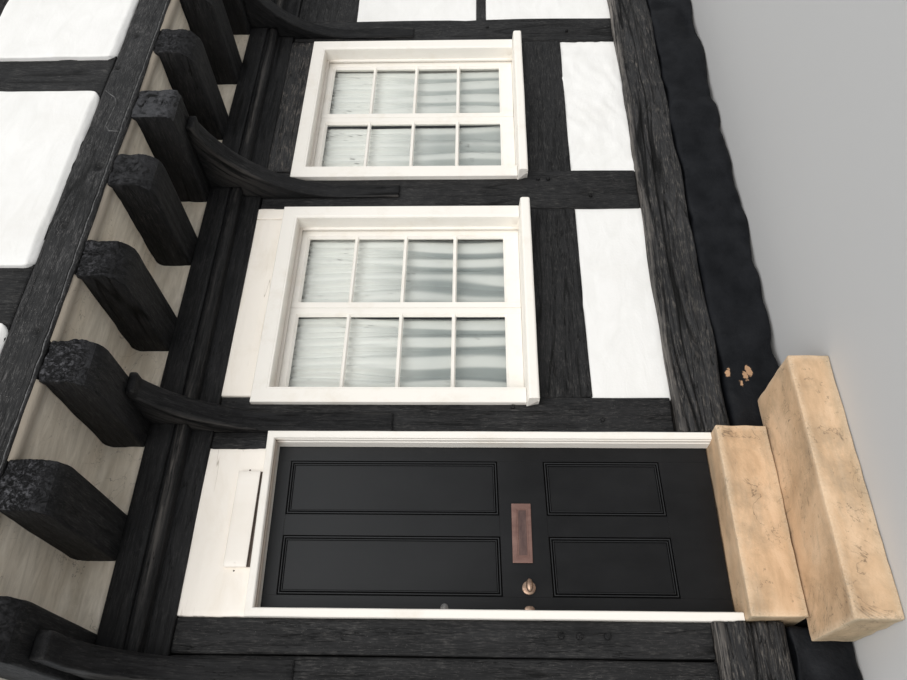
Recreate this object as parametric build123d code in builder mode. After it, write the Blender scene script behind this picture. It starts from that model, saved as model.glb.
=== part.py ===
"""A jettied half timbered house in a row: a stone footing, an oak frame with plaster panels, a boarded
door, glazed windows and a tiled roof. Millimetres, +Z up, +X to the right seen from the street and the
street front towards -Y. The origin is on the ground under the middle of the house."""
from build123d import *
import os
from math import asin, cos, radians, sin, tan

os.makedirs("parts", exist_ok=True)

# Widths along the street front, from the left end to the right end
CORNER_POST_W = 190
POST_GAP = 6
DOOR_POST_W = 147
DOOR_BAY_W = 857
SECOND_POST_W = 195
LEFT_WINDOW_LININGS = (41, 89)       # beside the opening, left and right
THIRD_POST_W = 300
RIGHT_WINDOW_LININGS = (18, 103)
FOURTH_POST_W = 244
PANEL_BAY_W = 1240
END_POST_W = 240

# Depths from the street to the back
WALL_T = 180          # timber wall, face to face
GROUND_DEPTH = 4900   # outside of the front wall to outside of the back wall, on the ground floor
JETTY = 715           # how far the upper floor stands out over the street
EAVES_OUT = 250       # level distance that the roof stands out past a wall
PARTY_WALL_T = 200
PLINTH_OUT = 40       # footing in front of the posts
SILL_OUT = 30         # sill beam in front of the posts
PLATE_OUT = 90        # moulded wall plate in front of the posts
PANEL_BACK = 12       # plaster set back behind the timber
UPPER_PANEL_OUT = 22  # thick plaster of the upper street panels in front of the timber

# Heights above the ground
STEP_TOP = 182
THRESHOLD_TOP = 420
PLINTH_TOP = 320
DOOR_SIDE_PLINTH_TOP = 265   # lower left of the door
GROUND_FLOOR_TOP = 400
DOOR_SIDE_SILL_TOP = 552
SILL_TOP = 580
WINDOW_RAIL_BOTTOM = 955
WINDOW_RAIL_TOP = 1222
PANEL_RAIL_BOTTOM = 1457
PANEL_RAIL_TOP = 1527
PANEL_HEAD_BOTTOM = 2372
PLATE_BOTTOM = 2795
PLATE_TOP = 3075
JOIST_TOP = 3285
JETTY_BEAM_TOP = 3470
UPPER_RAIL_BOTTOM = 4210
UPPER_RAIL_TOP = 4360
EAVES_PLATE_BOTTOM = 5270
EAVES_PLATE_TOP = 5450
FLOOR_T = 40
SOFFIT_T = 25
FLOOR_LEDGE = 60
RAIL_BACK = 4

# Windows
WINDOW_OPENING_W = 1105
WINDOW_FACE_BOARD = 85    # planted face board beside the opening
WINDOW_FACE_TOP = 2640
WINDOW_OPENING_TOP = 2555
WINDOW_FACE_T = 30
SASH_BACK = 85            # front of the sash behind the posts' face
SASH_T = 40
SASH_STILE = 42
SASH_TOP_RAIL = 48
SASH_BOTTOM_RAIL = 78
SASH_MULLION = 74
GLASS_T = 4
GLASS_BACK = 103          # front of the glass behind the posts' face
WINDOW_SILL_END = 8       # sill past the face boards
WINDOW_SILL_T = 60
WINDOW_SILL_OUT = 90
UPPER_WINDOW_TOP = 5180
UPPER_OPENING_W = 930
CURTAIN_W = 520
CURTAIN_SIDE_GAP = 12
ROD_DROP = 30             # curtain rod below the top of the opening
CURTAIN_T = 40
CURTAIN_UP = 12           # hem above the sill
CURTAIN_ROD_GAP = 0.5
ROD_R = 6

# Door
DOOR_JAMB_W = 42
DOOR_HEAD_H = 28
DOOR_HEAD_TOP = 2482      # at the latch side
DOOR_RISE = 50            # rise of the head across the bay, since the frame has leaned
DOOR_FRAME_OUT = 20
DOOR_T = 44
DOOR_BACK = 80            # front of the leaf behind the posts' face
DOOR_REBATE = 10          # leaf behind each jamb's stop
DOOR_GAP = 5
LATCH_GAP = 7
DOOR_STILE = 80
DOOR_MUNTIN = 98
DOOR_PANEL_RECESS = 5
DOOR_TOP_RAIL = 72
LOCK_RAIL_BOTTOM = 1185
LOCK_RAIL_TOP = 1420
DOOR_BOTTOM_RAIL = 215
KNOB_HEIGHT = 1297
KNOB_IN = 109             # knob centre from the latch side of the opening
LETTER_HEIGHT = 1320
LETTER_LEFT = 33           # letter plate centre left of the middle of the door bay
LETTER_W = 275
LETTER_H = 90
LOCK_HEIGHT = 1665
LOCK_IN = 22               # lock centre from the latch side of the opening

# Jetty
JOIST_W = 205
JOIST_END = 150                   # centre of the first and last joist from the ends of the house
JOIST_STEPS = [505, 530, 528, 543, 466, 511, 513, 512, 512, 510, 450]   # old uneven spacing, in proportion
NOSE_ROUNDS = [95, 115, 120, 115, 105, 45, 110, 100, 115, 105, 95, 110]   # rounding of each street end
NOSE_BACK = 6                     # street ends behind the jetty beam's face
BRACKET_W = 100
BRACKET_REACHES = [540, 400, 540, 500, 540]
BRACKET_FEET = [2270, 1932, 1980, 1960, 2270]
BRACKET_SPRINGS = [2560, 2450, 2300, 2400, 2560]   # height at which the underside curves away from the post
BRACKET_RADII = [465, 704, 800, 700, 465]          # of the curved underside
BRACKET_TIPS = [55, 30, 40, 35, 55]                # height of the blunt tip
BRACKET_TOE = 13                                   # thickness at the foot
INFILL_BACK = 15                  # plaster between the joists behind the plate's face

# Upper floor posts: to the side of the posts below, and their widths
UPPER_POST_W = 200
UPPER_POST_SHIFTS = [201, 145, 97]
UPPER_POST_WIDTHS = [302, 275, 270]

# Roof
ROOF_PITCH = 45
ROOF_T = 110
RIDGE_HALF_W = 120
RIDGE_CROWN = 45

# Places worked out from those sizes
post_widths = [CORNER_POST_W, DOOR_POST_W, SECOND_POST_W, THIRD_POST_W, FOURTH_POST_W, END_POST_W]
bay_widths = [POST_GAP, DOOR_BAY_W, WINDOW_OPENING_W + sum(LEFT_WINDOW_LININGS),
              WINDOW_OPENING_W + sum(RIGHT_WINDOW_LININGS), PANEL_BAY_W]
HOUSE_W = sum(post_widths) + sum(bay_widths)
LEFT = -HOUSE_W / 2
RIGHT = HOUSE_W / 2
posts, x = [], LEFT
for width, bay in zip(post_widths, bay_widths + [0]):
    posts.append((x, x + width))
    x += width + bay
corner_post, door_post, second_post, third_post, fourth_post, end_post = posts
door_bay = (door_post[1], second_post[0])
left_window_bay = (second_post[1], third_post[0])
right_window_bay = (third_post[1], fourth_post[0])
panel_bay = (fourth_post[1], end_post[0])

UPPER_DEPTH = GROUND_DEPTH + JETTY
FRONT = -(UPPER_DEPTH + 2 * EAVES_OUT) / 2 + EAVES_OUT + JETTY  # front face of the street posts
REAR = FRONT + GROUND_DEPTH
UPPER_FRONT = FRONT - JETTY
INSIDE_FRONT = FRONT + WALL_T
INSIDE_UPPER = UPPER_FRONT + WALL_T
INSIDE_REAR = REAR - WALL_T
inside_x = (LEFT + PARTY_WALL_T, RIGHT - PARTY_WALL_T)
RIDGE_Y = (UPPER_FRONT + REAR) / 2
slope = tan(radians(ROOF_PITCH))


def block(x_span, y_span, z_span, mode=Mode.ADD):
    """A squared timber, stone or slab between a pair of faces each way."""
    centre = tuple((low + high) / 2 for low, high in (x_span, y_span, z_span))
    size = [high - low for low, high in (x_span, y_span, z_span)]
    with Locations(centre):
        Box(*size, mode=mode)


def save(part, name):
    """Labels a finished piece and writes it."""
    part.label = name
    export_step(part, f"parts/{name}.step")


# Footing, step and floors
with BuildPart() as footing:
    block((LEFT, RIGHT), (FRONT - PLINTH_OUT, INSIDE_FRONT), (0, PLINTH_TOP))
    block((LEFT, door_bay[0]), (FRONT - PLINTH_OUT, INSIDE_FRONT), (DOOR_SIDE_PLINTH_TOP, PLINTH_TOP),
          Mode.SUBTRACT)
    block(inside_x, (INSIDE_FRONT, INSIDE_FRONT + FLOOR_LEDGE), (0, GROUND_FLOOR_TOP - FLOOR_T))
    block(door_bay, (FRONT - PLINTH_OUT, INSIDE_FRONT), (STEP_TOP, PLINTH_TOP), Mode.SUBTRACT)
    block((LEFT, RIGHT), (INSIDE_REAR, REAR + PLINTH_OUT), (0, PLINTH_TOP))
    block(inside_x, (INSIDE_REAR - FLOOR_LEDGE, INSIDE_REAR), (0, GROUND_FLOOR_TOP - FLOOR_T))
save(footing.part, "footing")

STEP_SPAN = (door_bay[0] - 85, door_bay[1] + 160)
STEP_OUT = 465
STEP_ARRIS = 14
with BuildPart() as doorstep:
    block(STEP_SPAN, (FRONT - STEP_OUT, FRONT - PLINTH_OUT), (0, STEP_TOP))
    fillet(doorstep.edges().filter_by(Axis.X).sort_by(Axis.Z)[-2:].sort_by(Axis.Y)[0], STEP_ARRIS)
save(doorstep.part, "doorstep")

THRESHOLD_OUT = 100
with BuildPart() as threshold_stone:
    block(door_bay, (FRONT - THRESHOLD_OUT, INSIDE_FRONT), (STEP_TOP, THRESHOLD_TOP))
    fillet(threshold_stone.edges().filter_by(Axis.X).sort_by(Axis.Z)[-2:].sort_by(Axis.Y)[0], STEP_ARRIS)
save(threshold_stone.part, "threshold_stone")

with BuildPart() as ground_floor:
    block(inside_x, (INSIDE_FRONT, INSIDE_REAR), (GROUND_FLOOR_TOP - FLOOR_T, GROUND_FLOOR_TOP))
save(ground_floor.part, "ground_floor")

with BuildPart() as upper_floor:
    block(inside_x, (INSIDE_UPPER, INSIDE_REAR), (JOIST_TOP, JOIST_TOP + FLOOR_T))
save(upper_floor.part, "upper_floor")

# Ground floor frame, the street front and then the back, which has the same storeys and no jetty
rear_posts_x = [corner_post, second_post, third_post, fourth_post, end_post]
rear_bays = [(a[1], b[0]) for a, b in zip(rear_posts_x, rear_posts_x[1:])]
window_bays = [left_window_bay, right_window_bay]
rear_wall = (INSIDE_REAR, REAR)
rear_panel = (INSIDE_REAR + PANEL_BACK, REAR - PANEL_BACK)
front_panel = (FRONT + PANEL_BACK, INSIDE_FRONT - PANEL_BACK)
with BuildPart() as sill_beams:
    block((LEFT, door_bay[0]), (FRONT - SILL_OUT, INSIDE_FRONT),
          (DOOR_SIDE_PLINTH_TOP, DOOR_SIDE_SILL_TOP))
    block((door_bay[1], RIGHT), (FRONT - SILL_OUT, INSIDE_FRONT), (PLINTH_TOP, SILL_TOP))
    block((LEFT, RIGHT), (INSIDE_REAR, REAR + SILL_OUT), (PLINTH_TOP, SILL_TOP))
save(sill_beams.part, "sill_beams")

with BuildPart() as ground_posts:
    for span in (corner_post, door_post):
        block(span, (FRONT, INSIDE_FRONT), (DOOR_SIDE_SILL_TOP, PLATE_BOTTOM))
    for span in (second_post, third_post, fourth_post, end_post):
        block(span, (FRONT, INSIDE_FRONT), (SILL_TOP, PLATE_BOTTOM))
    for span in rear_posts_x:
        block(span, rear_wall, (SILL_TOP, PLATE_TOP))
save(ground_posts.part, "ground_posts")

with BuildPart() as ground_rails:
    for bay in window_bays:
        block(bay, (FRONT + RAIL_BACK, INSIDE_FRONT), (WINDOW_RAIL_BOTTOM, WINDOW_RAIL_TOP))
    block(panel_bay, (FRONT + RAIL_BACK, INSIDE_FRONT), (PANEL_RAIL_BOTTOM, PANEL_RAIL_TOP))
    block(panel_bay, (FRONT + RAIL_BACK, INSIDE_FRONT), (PANEL_HEAD_BOTTOM, PLATE_BOTTOM))
    for bay in rear_bays:
        block(bay, (INSIDE_REAR, REAR - RAIL_BACK), (WINDOW_RAIL_BOTTOM, WINDOW_RAIL_TOP))
save(ground_rails.part, "ground_rails")

with BuildPart() as ground_panels:
    for bay in window_bays:
        block(bay, front_panel, (SILL_TOP, WINDOW_RAIL_BOTTOM))
    for heights in ((SILL_TOP, PANEL_RAIL_BOTTOM), (PANEL_RAIL_TOP, PANEL_HEAD_BOTTOM)):
        block(panel_bay, front_panel, heights)
    for bay in rear_bays:
        block(bay, rear_panel, (SILL_TOP, WINDOW_RAIL_BOTTOM))
        over = WINDOW_FACE_TOP if bay in window_bays else WINDOW_RAIL_TOP
        block(bay, rear_panel, (over, PLATE_TOP))
save(ground_panels.part, "ground_panels")

with BuildPart() as rear_girding_beam:
    block((LEFT, RIGHT), rear_wall, (PLATE_TOP, JOIST_TOP))
save(rear_girding_beam.part, "rear_girding_beam")

# The wall plate, from the top down: a flat fascia, a narrow groove, a round roll and a plain lower band
FASCIA_H = 115
GROOVE_H = 15
GROOVE_D = 22
ROLL_H = 50
ROLL_IN = 34
ROLL_LIP = 8
ROLL_BULGE = 9
ROLL_MIDDLE = 0.6      # share of the roll's height at which it stands back by ROLL_BULGE
LOWER_BAND_OUT = 16
plate_face = FRONT - PLATE_OUT
band_face = FRONT - LOWER_BAND_OUT
fascia_foot = PLATE_TOP - FASCIA_H
roll_top = fascia_foot - GROOVE_H
roll_foot = roll_top - ROLL_H
with BuildPart() as moulded_wall_plate:
    with BuildSketch(Plane.YZ.offset(LEFT)):
        with BuildLine():
            Polyline((band_face, roll_foot), (band_face, PLATE_BOTTOM), (INSIDE_FRONT, PLATE_BOTTOM),
                     (INSIDE_FRONT, PLATE_TOP), (plate_face, PLATE_TOP), (plate_face, fascia_foot),
                     (plate_face + GROOVE_D, fascia_foot), (plate_face + GROOVE_D, roll_top),
                     (plate_face + ROLL_LIP, roll_top))
            ThreePointArc((plate_face + ROLL_LIP, roll_top),
                          (plate_face + ROLL_BULGE, roll_top - ROLL_H * ROLL_MIDDLE),
                          (plate_face + ROLL_IN, roll_foot))
            Line((plate_face + ROLL_IN, roll_foot), (band_face, roll_foot))
        make_face()
    extrude(amount=HOUSE_W)
save(moulded_wall_plate.part, "moulded_wall_plate")

# Jetty: joists with rounded noses, the plaster between them, the beam that they carry and the brackets
NOSE = UPPER_FRONT + NOSE_BACK
joist_scale = (HOUSE_W - 2 * JOIST_END) / sum(JOIST_STEPS)
joist_x = [LEFT + JOIST_END + joist_scale * sum(JOIST_STEPS[:count]) for count in range(len(JOIST_STEPS) + 1)]
joist_ends = [INSIDE_FRONT] + [INSIDE_REAR] * (len(joist_x) - 2) + [INSIDE_FRONT]
with BuildPart() as jetty_joists:
    for centre_x, back_y, round_r in zip(joist_x, joist_ends, NOSE_ROUNDS):
        with BuildSketch(Plane.YZ.offset(centre_x - JOIST_W / 2)):
            with BuildLine():
                Polyline((NOSE + round_r, PLATE_TOP), (back_y, PLATE_TOP), (back_y, JOIST_TOP),
                         (NOSE, JOIST_TOP), (NOSE, PLATE_TOP + round_r))
                RadiusArc((NOSE, PLATE_TOP + round_r), (NOSE + round_r, PLATE_TOP), round_r)
            make_face()
        extrude(amount=JOIST_W)
save(jetty_joists.part, "jetty_joists")

joist_gaps = [(a + JOIST_W / 2, b - JOIST_W / 2) for a, b in zip(joist_x, joist_x[1:])]
infill_face = plate_face + INFILL_BACK
with BuildPart() as joist_infill:
    for gap in joist_gaps:
        block(gap, (infill_face, INSIDE_FRONT), (PLATE_TOP, JOIST_TOP))
save(joist_infill.part, "joist_infill")

with BuildPart() as jetty_soffit:
    for gap in joist_gaps:
        block(gap, (NOSE, infill_face), (JOIST_TOP - SOFFIT_T, JOIST_TOP))
save(jetty_soffit.part, "jetty_soffit")

BEAM_ARRIS = 8
with BuildPart() as jetty_beam:
    block((LEFT, RIGHT), (UPPER_FRONT, INSIDE_UPPER), (JOIST_TOP, JETTY_BEAM_TOP))
    chamfer(jetty_beam.edges().filter_by(Axis.X).group_by(Axis.Y)[0], BEAM_ARRIS)
save(jetty_beam.part, "jetty_beam")

BRACKET_INSETS = [78, 1, 86, 44]   # bracket's left side from the left side of its post
bracket_posts = (corner_post, second_post, third_post, fourth_post)
bracket_x = [post[0] + inset + BRACKET_W / 2 for post, inset in zip(bracket_posts, BRACKET_INSETS)]
bracket_x.append(-bracket_x[0])
brackets = zip(bracket_x, BRACKET_REACHES, BRACKET_FEET, BRACKET_SPRINGS, BRACKET_RADII, BRACKET_TIPS)
toe_y = FRONT - BRACKET_TOE
with BuildPart() as jetty_brackets:
    for centre_x, reach, foot, spring, radius, tip in brackets:
        tip_z = PLATE_TOP - tip
        turn = asin((tip_z - spring) / radius)
        halfway = (toe_y - radius * (1 - cos(turn / 2)), spring + radius * sin(turn / 2))
        arc_end = (toe_y - radius * (1 - cos(turn)), tip_z)
        with BuildSketch(Plane.YZ.offset(centre_x - BRACKET_W / 2)):
            with BuildLine():
                Polyline(arc_end, (FRONT - reach, tip_z), (FRONT - reach, PLATE_TOP), (plate_face, PLATE_TOP),
                         (plate_face, roll_foot), (band_face, roll_foot), (band_face, PLATE_BOTTOM),
                         (FRONT, PLATE_BOTTOM), (FRONT, foot), (toe_y, foot), (toe_y, spring))
                ThreePointArc((toe_y, spring), halfway, arc_end)
            make_face()
        extrude(amount=BRACKET_W)
save(jetty_brackets.part, "jetty_brackets")

# Boards over the door and the windows
HEAD_BOARD_OUT = 5
left_window_x = left_window_bay[0] + LEFT_WINDOW_LININGS[0] + WINDOW_OPENING_W / 2
right_window_x = right_window_bay[0] + RIGHT_WINDOW_LININGS[0] + WINDOW_OPENING_W / 2
with BuildPart() as dark_head_board:
    block(right_window_bay, (FRONT - HEAD_BOARD_OUT, INSIDE_FRONT), (WINDOW_FACE_TOP, PLATE_BOTTOM))
save(dark_head_board.part, "dark_head_board")

door_rise_slope = DOOR_RISE / DOOR_BAY_W


def leaning(x, height):
    """A height on the leaned door frame, rising towards the hinge side."""
    return height + (x - door_bay[0]) * door_rise_slope


def leaning_face(x_span, low, high):
    """The outline of a piece between two upright sides whose top and foot both lean, seen from the street."""
    with BuildLine() as outline:
        Polyline((x_span[0], leaning(x_span[0], low)), (x_span[1], leaning(x_span[1], low)),
                 (x_span[1], leaning(x_span[1], high)), (x_span[0], leaning(x_span[0], high)), close=True)
    make_face(outline.line)


street = Plane.XZ  # its normal points to the street, so an offset of -y places it at y
with BuildPart() as white_head_boards:
    with BuildSketch(street.offset(-(FRONT - HEAD_BOARD_OUT))):
        with BuildLine():
            Polyline((door_bay[0], leaning(door_bay[0], DOOR_HEAD_TOP)),
                     (door_bay[1], leaning(door_bay[1], DOOR_HEAD_TOP)),
                     (door_bay[1], PLATE_BOTTOM), (door_bay[0], PLATE_BOTTOM), close=True)
        make_face()
    extrude(amount=-(WALL_T + HEAD_BOARD_OUT))
    block(left_window_bay, (FRONT - HEAD_BOARD_OUT, INSIDE_FRONT), (WINDOW_FACE_TOP, PLATE_BOTTOM))
save(white_head_boards.part, "white_head_boards")

NAME_PLATE_W = 445
NAME_PLATE_H = 108
NAME_PLATE_T = 20
NAME_PLATE_IN = 425      # its centre from the left side of the door bay
NAME_PLATE_GAP = 3       # above the leaning door frame at its right end
NAME_PLATE_ARRIS = 4
plate_right = door_bay[0] + NAME_PLATE_IN + NAME_PLATE_W / 2
NAME_PLATE_HEIGHT = leaning(plate_right, DOOR_HEAD_TOP) + NAME_PLATE_H / 2 + NAME_PLATE_GAP
with BuildPart() as name_plate:
    with Locations((door_bay[0] + NAME_PLATE_IN, FRONT - HEAD_BOARD_OUT - NAME_PLATE_T / 2, NAME_PLATE_HEIGHT)):
        Box(NAME_PLATE_W, NAME_PLATE_T, NAME_PLATE_H)
    chamfer(name_plate.edges().group_by(Axis.Y)[0], NAME_PLATE_ARRIS)
save(name_plate.part, "name_plate")

# Door frame with its stop and rebate
opening = (door_bay[0] + DOOR_JAMB_W, door_bay[1] - DOOR_JAMB_W)
leaf_span = (opening[0] - DOOR_REBATE, opening[1] + DOOR_REBATE)
rebate_span = (leaf_span[0] - LATCH_GAP, leaf_span[1] + DOOR_GAP)
OPENING_TOP = DOOR_HEAD_TOP - DOOR_HEAD_H
LEAF_TOP = OPENING_TOP + DOOR_REBATE
REBATE_TOP = LEAF_TOP + DOOR_GAP
LEAF_FOOT = THRESHOLD_TOP + DOOR_GAP
LEAF_FRONT = FRONT + DOOR_BACK
LEAF_REAR = LEAF_FRONT + DOOR_T
with BuildPart() as door_frame:
    with BuildSketch(street.offset(-(FRONT - DOOR_FRAME_OUT))):
        with BuildLine():
            Polyline((door_bay[0], THRESHOLD_TOP), (door_bay[0], leaning(door_bay[0], DOOR_HEAD_TOP)),
                     (door_bay[1], leaning(door_bay[1], DOOR_HEAD_TOP)), (door_bay[1], THRESHOLD_TOP),
                     (opening[1], THRESHOLD_TOP), (opening[1], leaning(opening[1], OPENING_TOP)),
                     (opening[0], leaning(opening[0], OPENING_TOP)), (opening[0], THRESHOLD_TOP), close=True)
        make_face()
    extrude(amount=-(DOOR_FRAME_OUT + DOOR_BACK + DOOR_T))
    with BuildSketch(street.offset(-(LEAF_FRONT - DOOR_GAP))):
        with BuildLine():
            Polyline((rebate_span[0], THRESHOLD_TOP), (rebate_span[0], leaning(rebate_span[0], REBATE_TOP)),
                     (rebate_span[1], leaning(rebate_span[1], REBATE_TOP)), (rebate_span[1], THRESHOLD_TOP),
                     close=True)
        make_face()
    extrude(amount=-(DOOR_T + DOOR_GAP), mode=Mode.SUBTRACT)
save(door_frame.part, "door_frame")

# Four panelled door leaf
SPINDLE_HOLE_R = 8
knob_x = opening[0] + KNOB_IN
letter_x = (door_bay[0] + door_bay[1]) / 2 - LETTER_LEFT
panel_w = (leaf_span[1] - leaf_span[0] - 2 * DOOR_STILE - DOOR_MUNTIN) / 2
panel_spans = [(leaf_span[0] + DOOR_STILE, leaf_span[0] + DOOR_STILE + panel_w),
               (leaf_span[1] - DOOR_STILE - panel_w, leaf_span[1] - DOOR_STILE)]
panel_heights = [(LEAF_FOOT + DOOR_BOTTOM_RAIL, LOCK_RAIL_BOTTOM), (LOCK_RAIL_TOP, LEAF_TOP - DOOR_TOP_RAIL)]
with BuildPart() as front_door:
    with BuildSketch(street.offset(-LEAF_FRONT)):
        with BuildLine():
            Polyline((leaf_span[0], LEAF_FOOT), (leaf_span[1], LEAF_FOOT),
                     (leaf_span[1], leaning(leaf_span[1], LEAF_TOP)),
                     (leaf_span[0], leaning(leaf_span[0], LEAF_TOP)), close=True)
        make_face()
    extrude(amount=-DOOR_T)
    for face_y, inward in ((LEAF_FRONT, -1), (LEAF_REAR, 1)):
        for span in panel_spans:
            for low, high in panel_heights:
                with BuildSketch(street.offset(-face_y)):
                    leaning_face(span, low, high)
                extrude(amount=inward * DOOR_PANEL_RECESS, mode=Mode.SUBTRACT)
    with Locations((knob_x, (LEAF_FRONT + LEAF_REAR) / 2, KNOB_HEIGHT)):
        Cylinder(SPINDLE_HOLE_R, DOOR_T, rotation=(90, 0, 0), mode=Mode.SUBTRACT)
save(front_door.part, "front_door")

# Door furniture
PLATE_T = 8
PLATE_ARRIS = 3
with BuildPart() as letter_plate:
    with Locations((letter_x, LEAF_FRONT - PLATE_T / 2, LETTER_HEIGHT)):
        Box(LETTER_W, PLATE_T, LETTER_H)
    chamfer(letter_plate.edges().group_by(Axis.Y)[0], PLATE_ARRIS)
save(letter_plate.part, "letter_plate")

ROSE_R = 30
ROSE_T = 6
ROSE_BORE_R = 10.5
with BuildPart() as knob_roses:
    for face_y, outward in ((LEAF_FRONT, -1), (LEAF_REAR, 1)):
        with Locations((knob_x, face_y + outward * ROSE_T / 2, KNOB_HEIGHT)):
            Cylinder(ROSE_R, ROSE_T, rotation=(90, 0, 0))
            Cylinder(ROSE_BORE_R, ROSE_T, rotation=(90, 0, 0), mode=Mode.SUBTRACT)
save(knob_roses.part, "knob_roses")

KNOB_R = 27
KNOB_OUT = 62
NECK_R = 10
SPINDLE_R = 7.5
SPINDLE_OUT = 10
with BuildPart() as door_knob:
    with Locations((knob_x, (LEAF_FRONT + LEAF_REAR) / 2, KNOB_HEIGHT)):
        Cylinder(SPINDLE_R, DOOR_T + 2 * SPINDLE_OUT, rotation=(90, 0, 0))
    for face_y, outward in ((LEAF_FRONT, -1), (LEAF_REAR, 1)):
        with Locations((knob_x, face_y + outward * KNOB_OUT / 4, KNOB_HEIGHT)):
            Cylinder(NECK_R, KNOB_OUT / 2, rotation=(90, 0, 0))
        with Locations((knob_x, face_y + outward * (KNOB_OUT - KNOB_R), KNOB_HEIGHT)):
            Sphere(KNOB_R)
save(door_knob.part, "door_knob")

LOCK_R = 17
LOCK_T = 8
with BuildPart() as lock_cylinder:
    with Locations((opening[0] + LOCK_IN, LEAF_FRONT - LOCK_T / 2, LOCK_HEIGHT)):
        Cylinder(LOCK_R, LOCK_T, rotation=(90, 0, 0))
save(lock_cylinder.part, "lock_cylinder")

# Butt hinges on the room side of the jamb, knuckle just clear of the leaf
KNUCKLE_R = 6.7
KNUCKLE_OUT = 7
HINGE_H = 100
HINGE_LEAF_T = 3
LOW_HINGE_UP = 250
TOP_HINGE_DOWN = 230
hinge_x = leaf_span[1] + DOOR_GAP / 2
hinge_y = LEAF_REAR + KNUCKLE_OUT
hinge_heights = [LEAF_FOOT + LOW_HINGE_UP, (LEAF_FOOT + LEAF_TOP) / 2, LEAF_TOP - TOP_HINGE_DOWN]
with BuildPart() as door_hinges:
    for height in hinge_heights:
        with Locations((hinge_x, hinge_y, height)):
            Cylinder(KNUCKLE_R, HINGE_H)
        block((hinge_x, door_bay[1]), (LEAF_REAR, LEAF_REAR + HINGE_LEAF_T),
              (height - HINGE_H / 2, height + HINGE_H / 2))
save(door_hinges.part, "door_hinges")


# Windows: each entry is the centre, the bay, the face of the wall, which way is out, the foot of the sill, the
# top of the opening, the top of the frame and the width of the opening
front_windows = [(left_window_x, left_window_bay), (right_window_x, right_window_bay)]
rear_windows = [(sum(bay) / 2, bay) for bay in window_bays]
ground_windows = [(x, bay, FRONT, -1, WINDOW_RAIL_TOP, WINDOW_OPENING_TOP, WINDOW_FACE_TOP,
                   WINDOW_OPENING_W) for x, bay in front_windows]
ground_windows += [(x, bay, REAR, 1, WINDOW_RAIL_TOP, WINDOW_OPENING_TOP, WINDOW_FACE_TOP,
                    WINDOW_OPENING_W) for x, bay in rear_windows]

upper_corner_left = (LEFT, LEFT + UPPER_POST_W)
upper_corner_right = (RIGHT - UPPER_POST_W, RIGHT)
upper_posts_x = [upper_corner_left]
for post, shift, width in zip((second_post, third_post, fourth_post), UPPER_POST_SHIFTS, UPPER_POST_WIDTHS):
    middle = (post[0] + post[1]) / 2 + shift
    upper_posts_x.append((middle - width / 2, middle + width / 2))
upper_posts_x.append(upper_corner_right)
upper_bays = [(a[1], b[0]) for a, b in zip(upper_posts_x, upper_posts_x[1:])]
upper_windows = [(sum(bay) / 2, bay, UPPER_FRONT, -1, UPPER_RAIL_TOP, UPPER_WINDOW_TOP, EAVES_PLATE_BOTTOM,
                  UPPER_OPENING_W) for bay in upper_bays[1:-1]]
upper_windows += [(sum(bay) / 2, bay, REAR, 1, UPPER_RAIL_TOP, UPPER_WINDOW_TOP, EAVES_PLATE_BOTTOM,
                   UPPER_OPENING_W) for bay in window_bays]


def depth(face_y, out, near, far):
    """The span between two depths behind an outer wall face. out is -1 at the street and 1 at the back."""
    return tuple(sorted((face_y - out * near, face_y - out * far)))


def around(centre_x, width):
    """A span of the given width about a centre."""
    return (centre_x - width / 2, centre_x + width / 2)


def lights(centre_x, opening_w):
    """The two glazed lights of a sash."""
    inner, outer = SASH_MULLION / 2, opening_w / 2 - SASH_STILE
    return [(centre_x - outer, centre_x - inner), (centre_x + inner, centre_x + outer)]


for group, windows in (("window", ground_windows), ("upper_window", upper_windows)):
    with BuildPart() as frames:
        for centre_x, bay, face_y, out, low, top, face_top, opening_w in windows:
            foot = low + WINDOW_SILL_T
            block(around(centre_x, opening_w + 2 * WINDOW_FACE_BOARD), depth(face_y, out, -WINDOW_FACE_T, 0),
                  (foot, face_top))
            block(bay, depth(face_y, out, 0, WALL_T), (foot, face_top))
            block(around(centre_x, opening_w), depth(face_y, out, -WINDOW_FACE_T, WALL_T), (foot, top),
                  Mode.SUBTRACT)
    save(frames.part, f"{group}_frames")
    with BuildPart() as sashes:
        for centre_x, bay, face_y, out, low, top, face_top, opening_w in windows:
            foot = low + WINDOW_SILL_T
            block(around(centre_x, opening_w), depth(face_y, out, SASH_BACK, SASH_BACK + SASH_T), (foot, top))
            for light in lights(centre_x, opening_w):
                block(light, depth(face_y, out, SASH_BACK, SASH_BACK + SASH_T),
                      (foot + SASH_BOTTOM_RAIL, top - SASH_TOP_RAIL), Mode.SUBTRACT)
    save(sashes.part, f"{group}_sashes")
    with BuildPart() as panes:
        for centre_x, bay, face_y, out, low, top, face_top, opening_w in windows:
            foot = low + WINDOW_SILL_T
            for light in lights(centre_x, opening_w):
                block(light, depth(face_y, out, GLASS_BACK, GLASS_BACK + GLASS_T),
                      (foot + SASH_BOTTOM_RAIL, top - SASH_TOP_RAIL))
    save(panes.part, f"{group}_glass")

with BuildPart() as window_sills:
    for centre_x, bay, face_y, out, low, top, face_top, opening_w in ground_windows + upper_windows:
        sill_w = opening_w + 2 * (WINDOW_FACE_BOARD + WINDOW_SILL_END)
        block(around(centre_x, sill_w), depth(face_y, out, -WINDOW_SILL_OUT, 0), (low, low + WINDOW_SILL_T))
        block(bay, depth(face_y, out, 0, WALL_T), (low, low + WINDOW_SILL_T))
save(window_sills.part, "window_sills")

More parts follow.
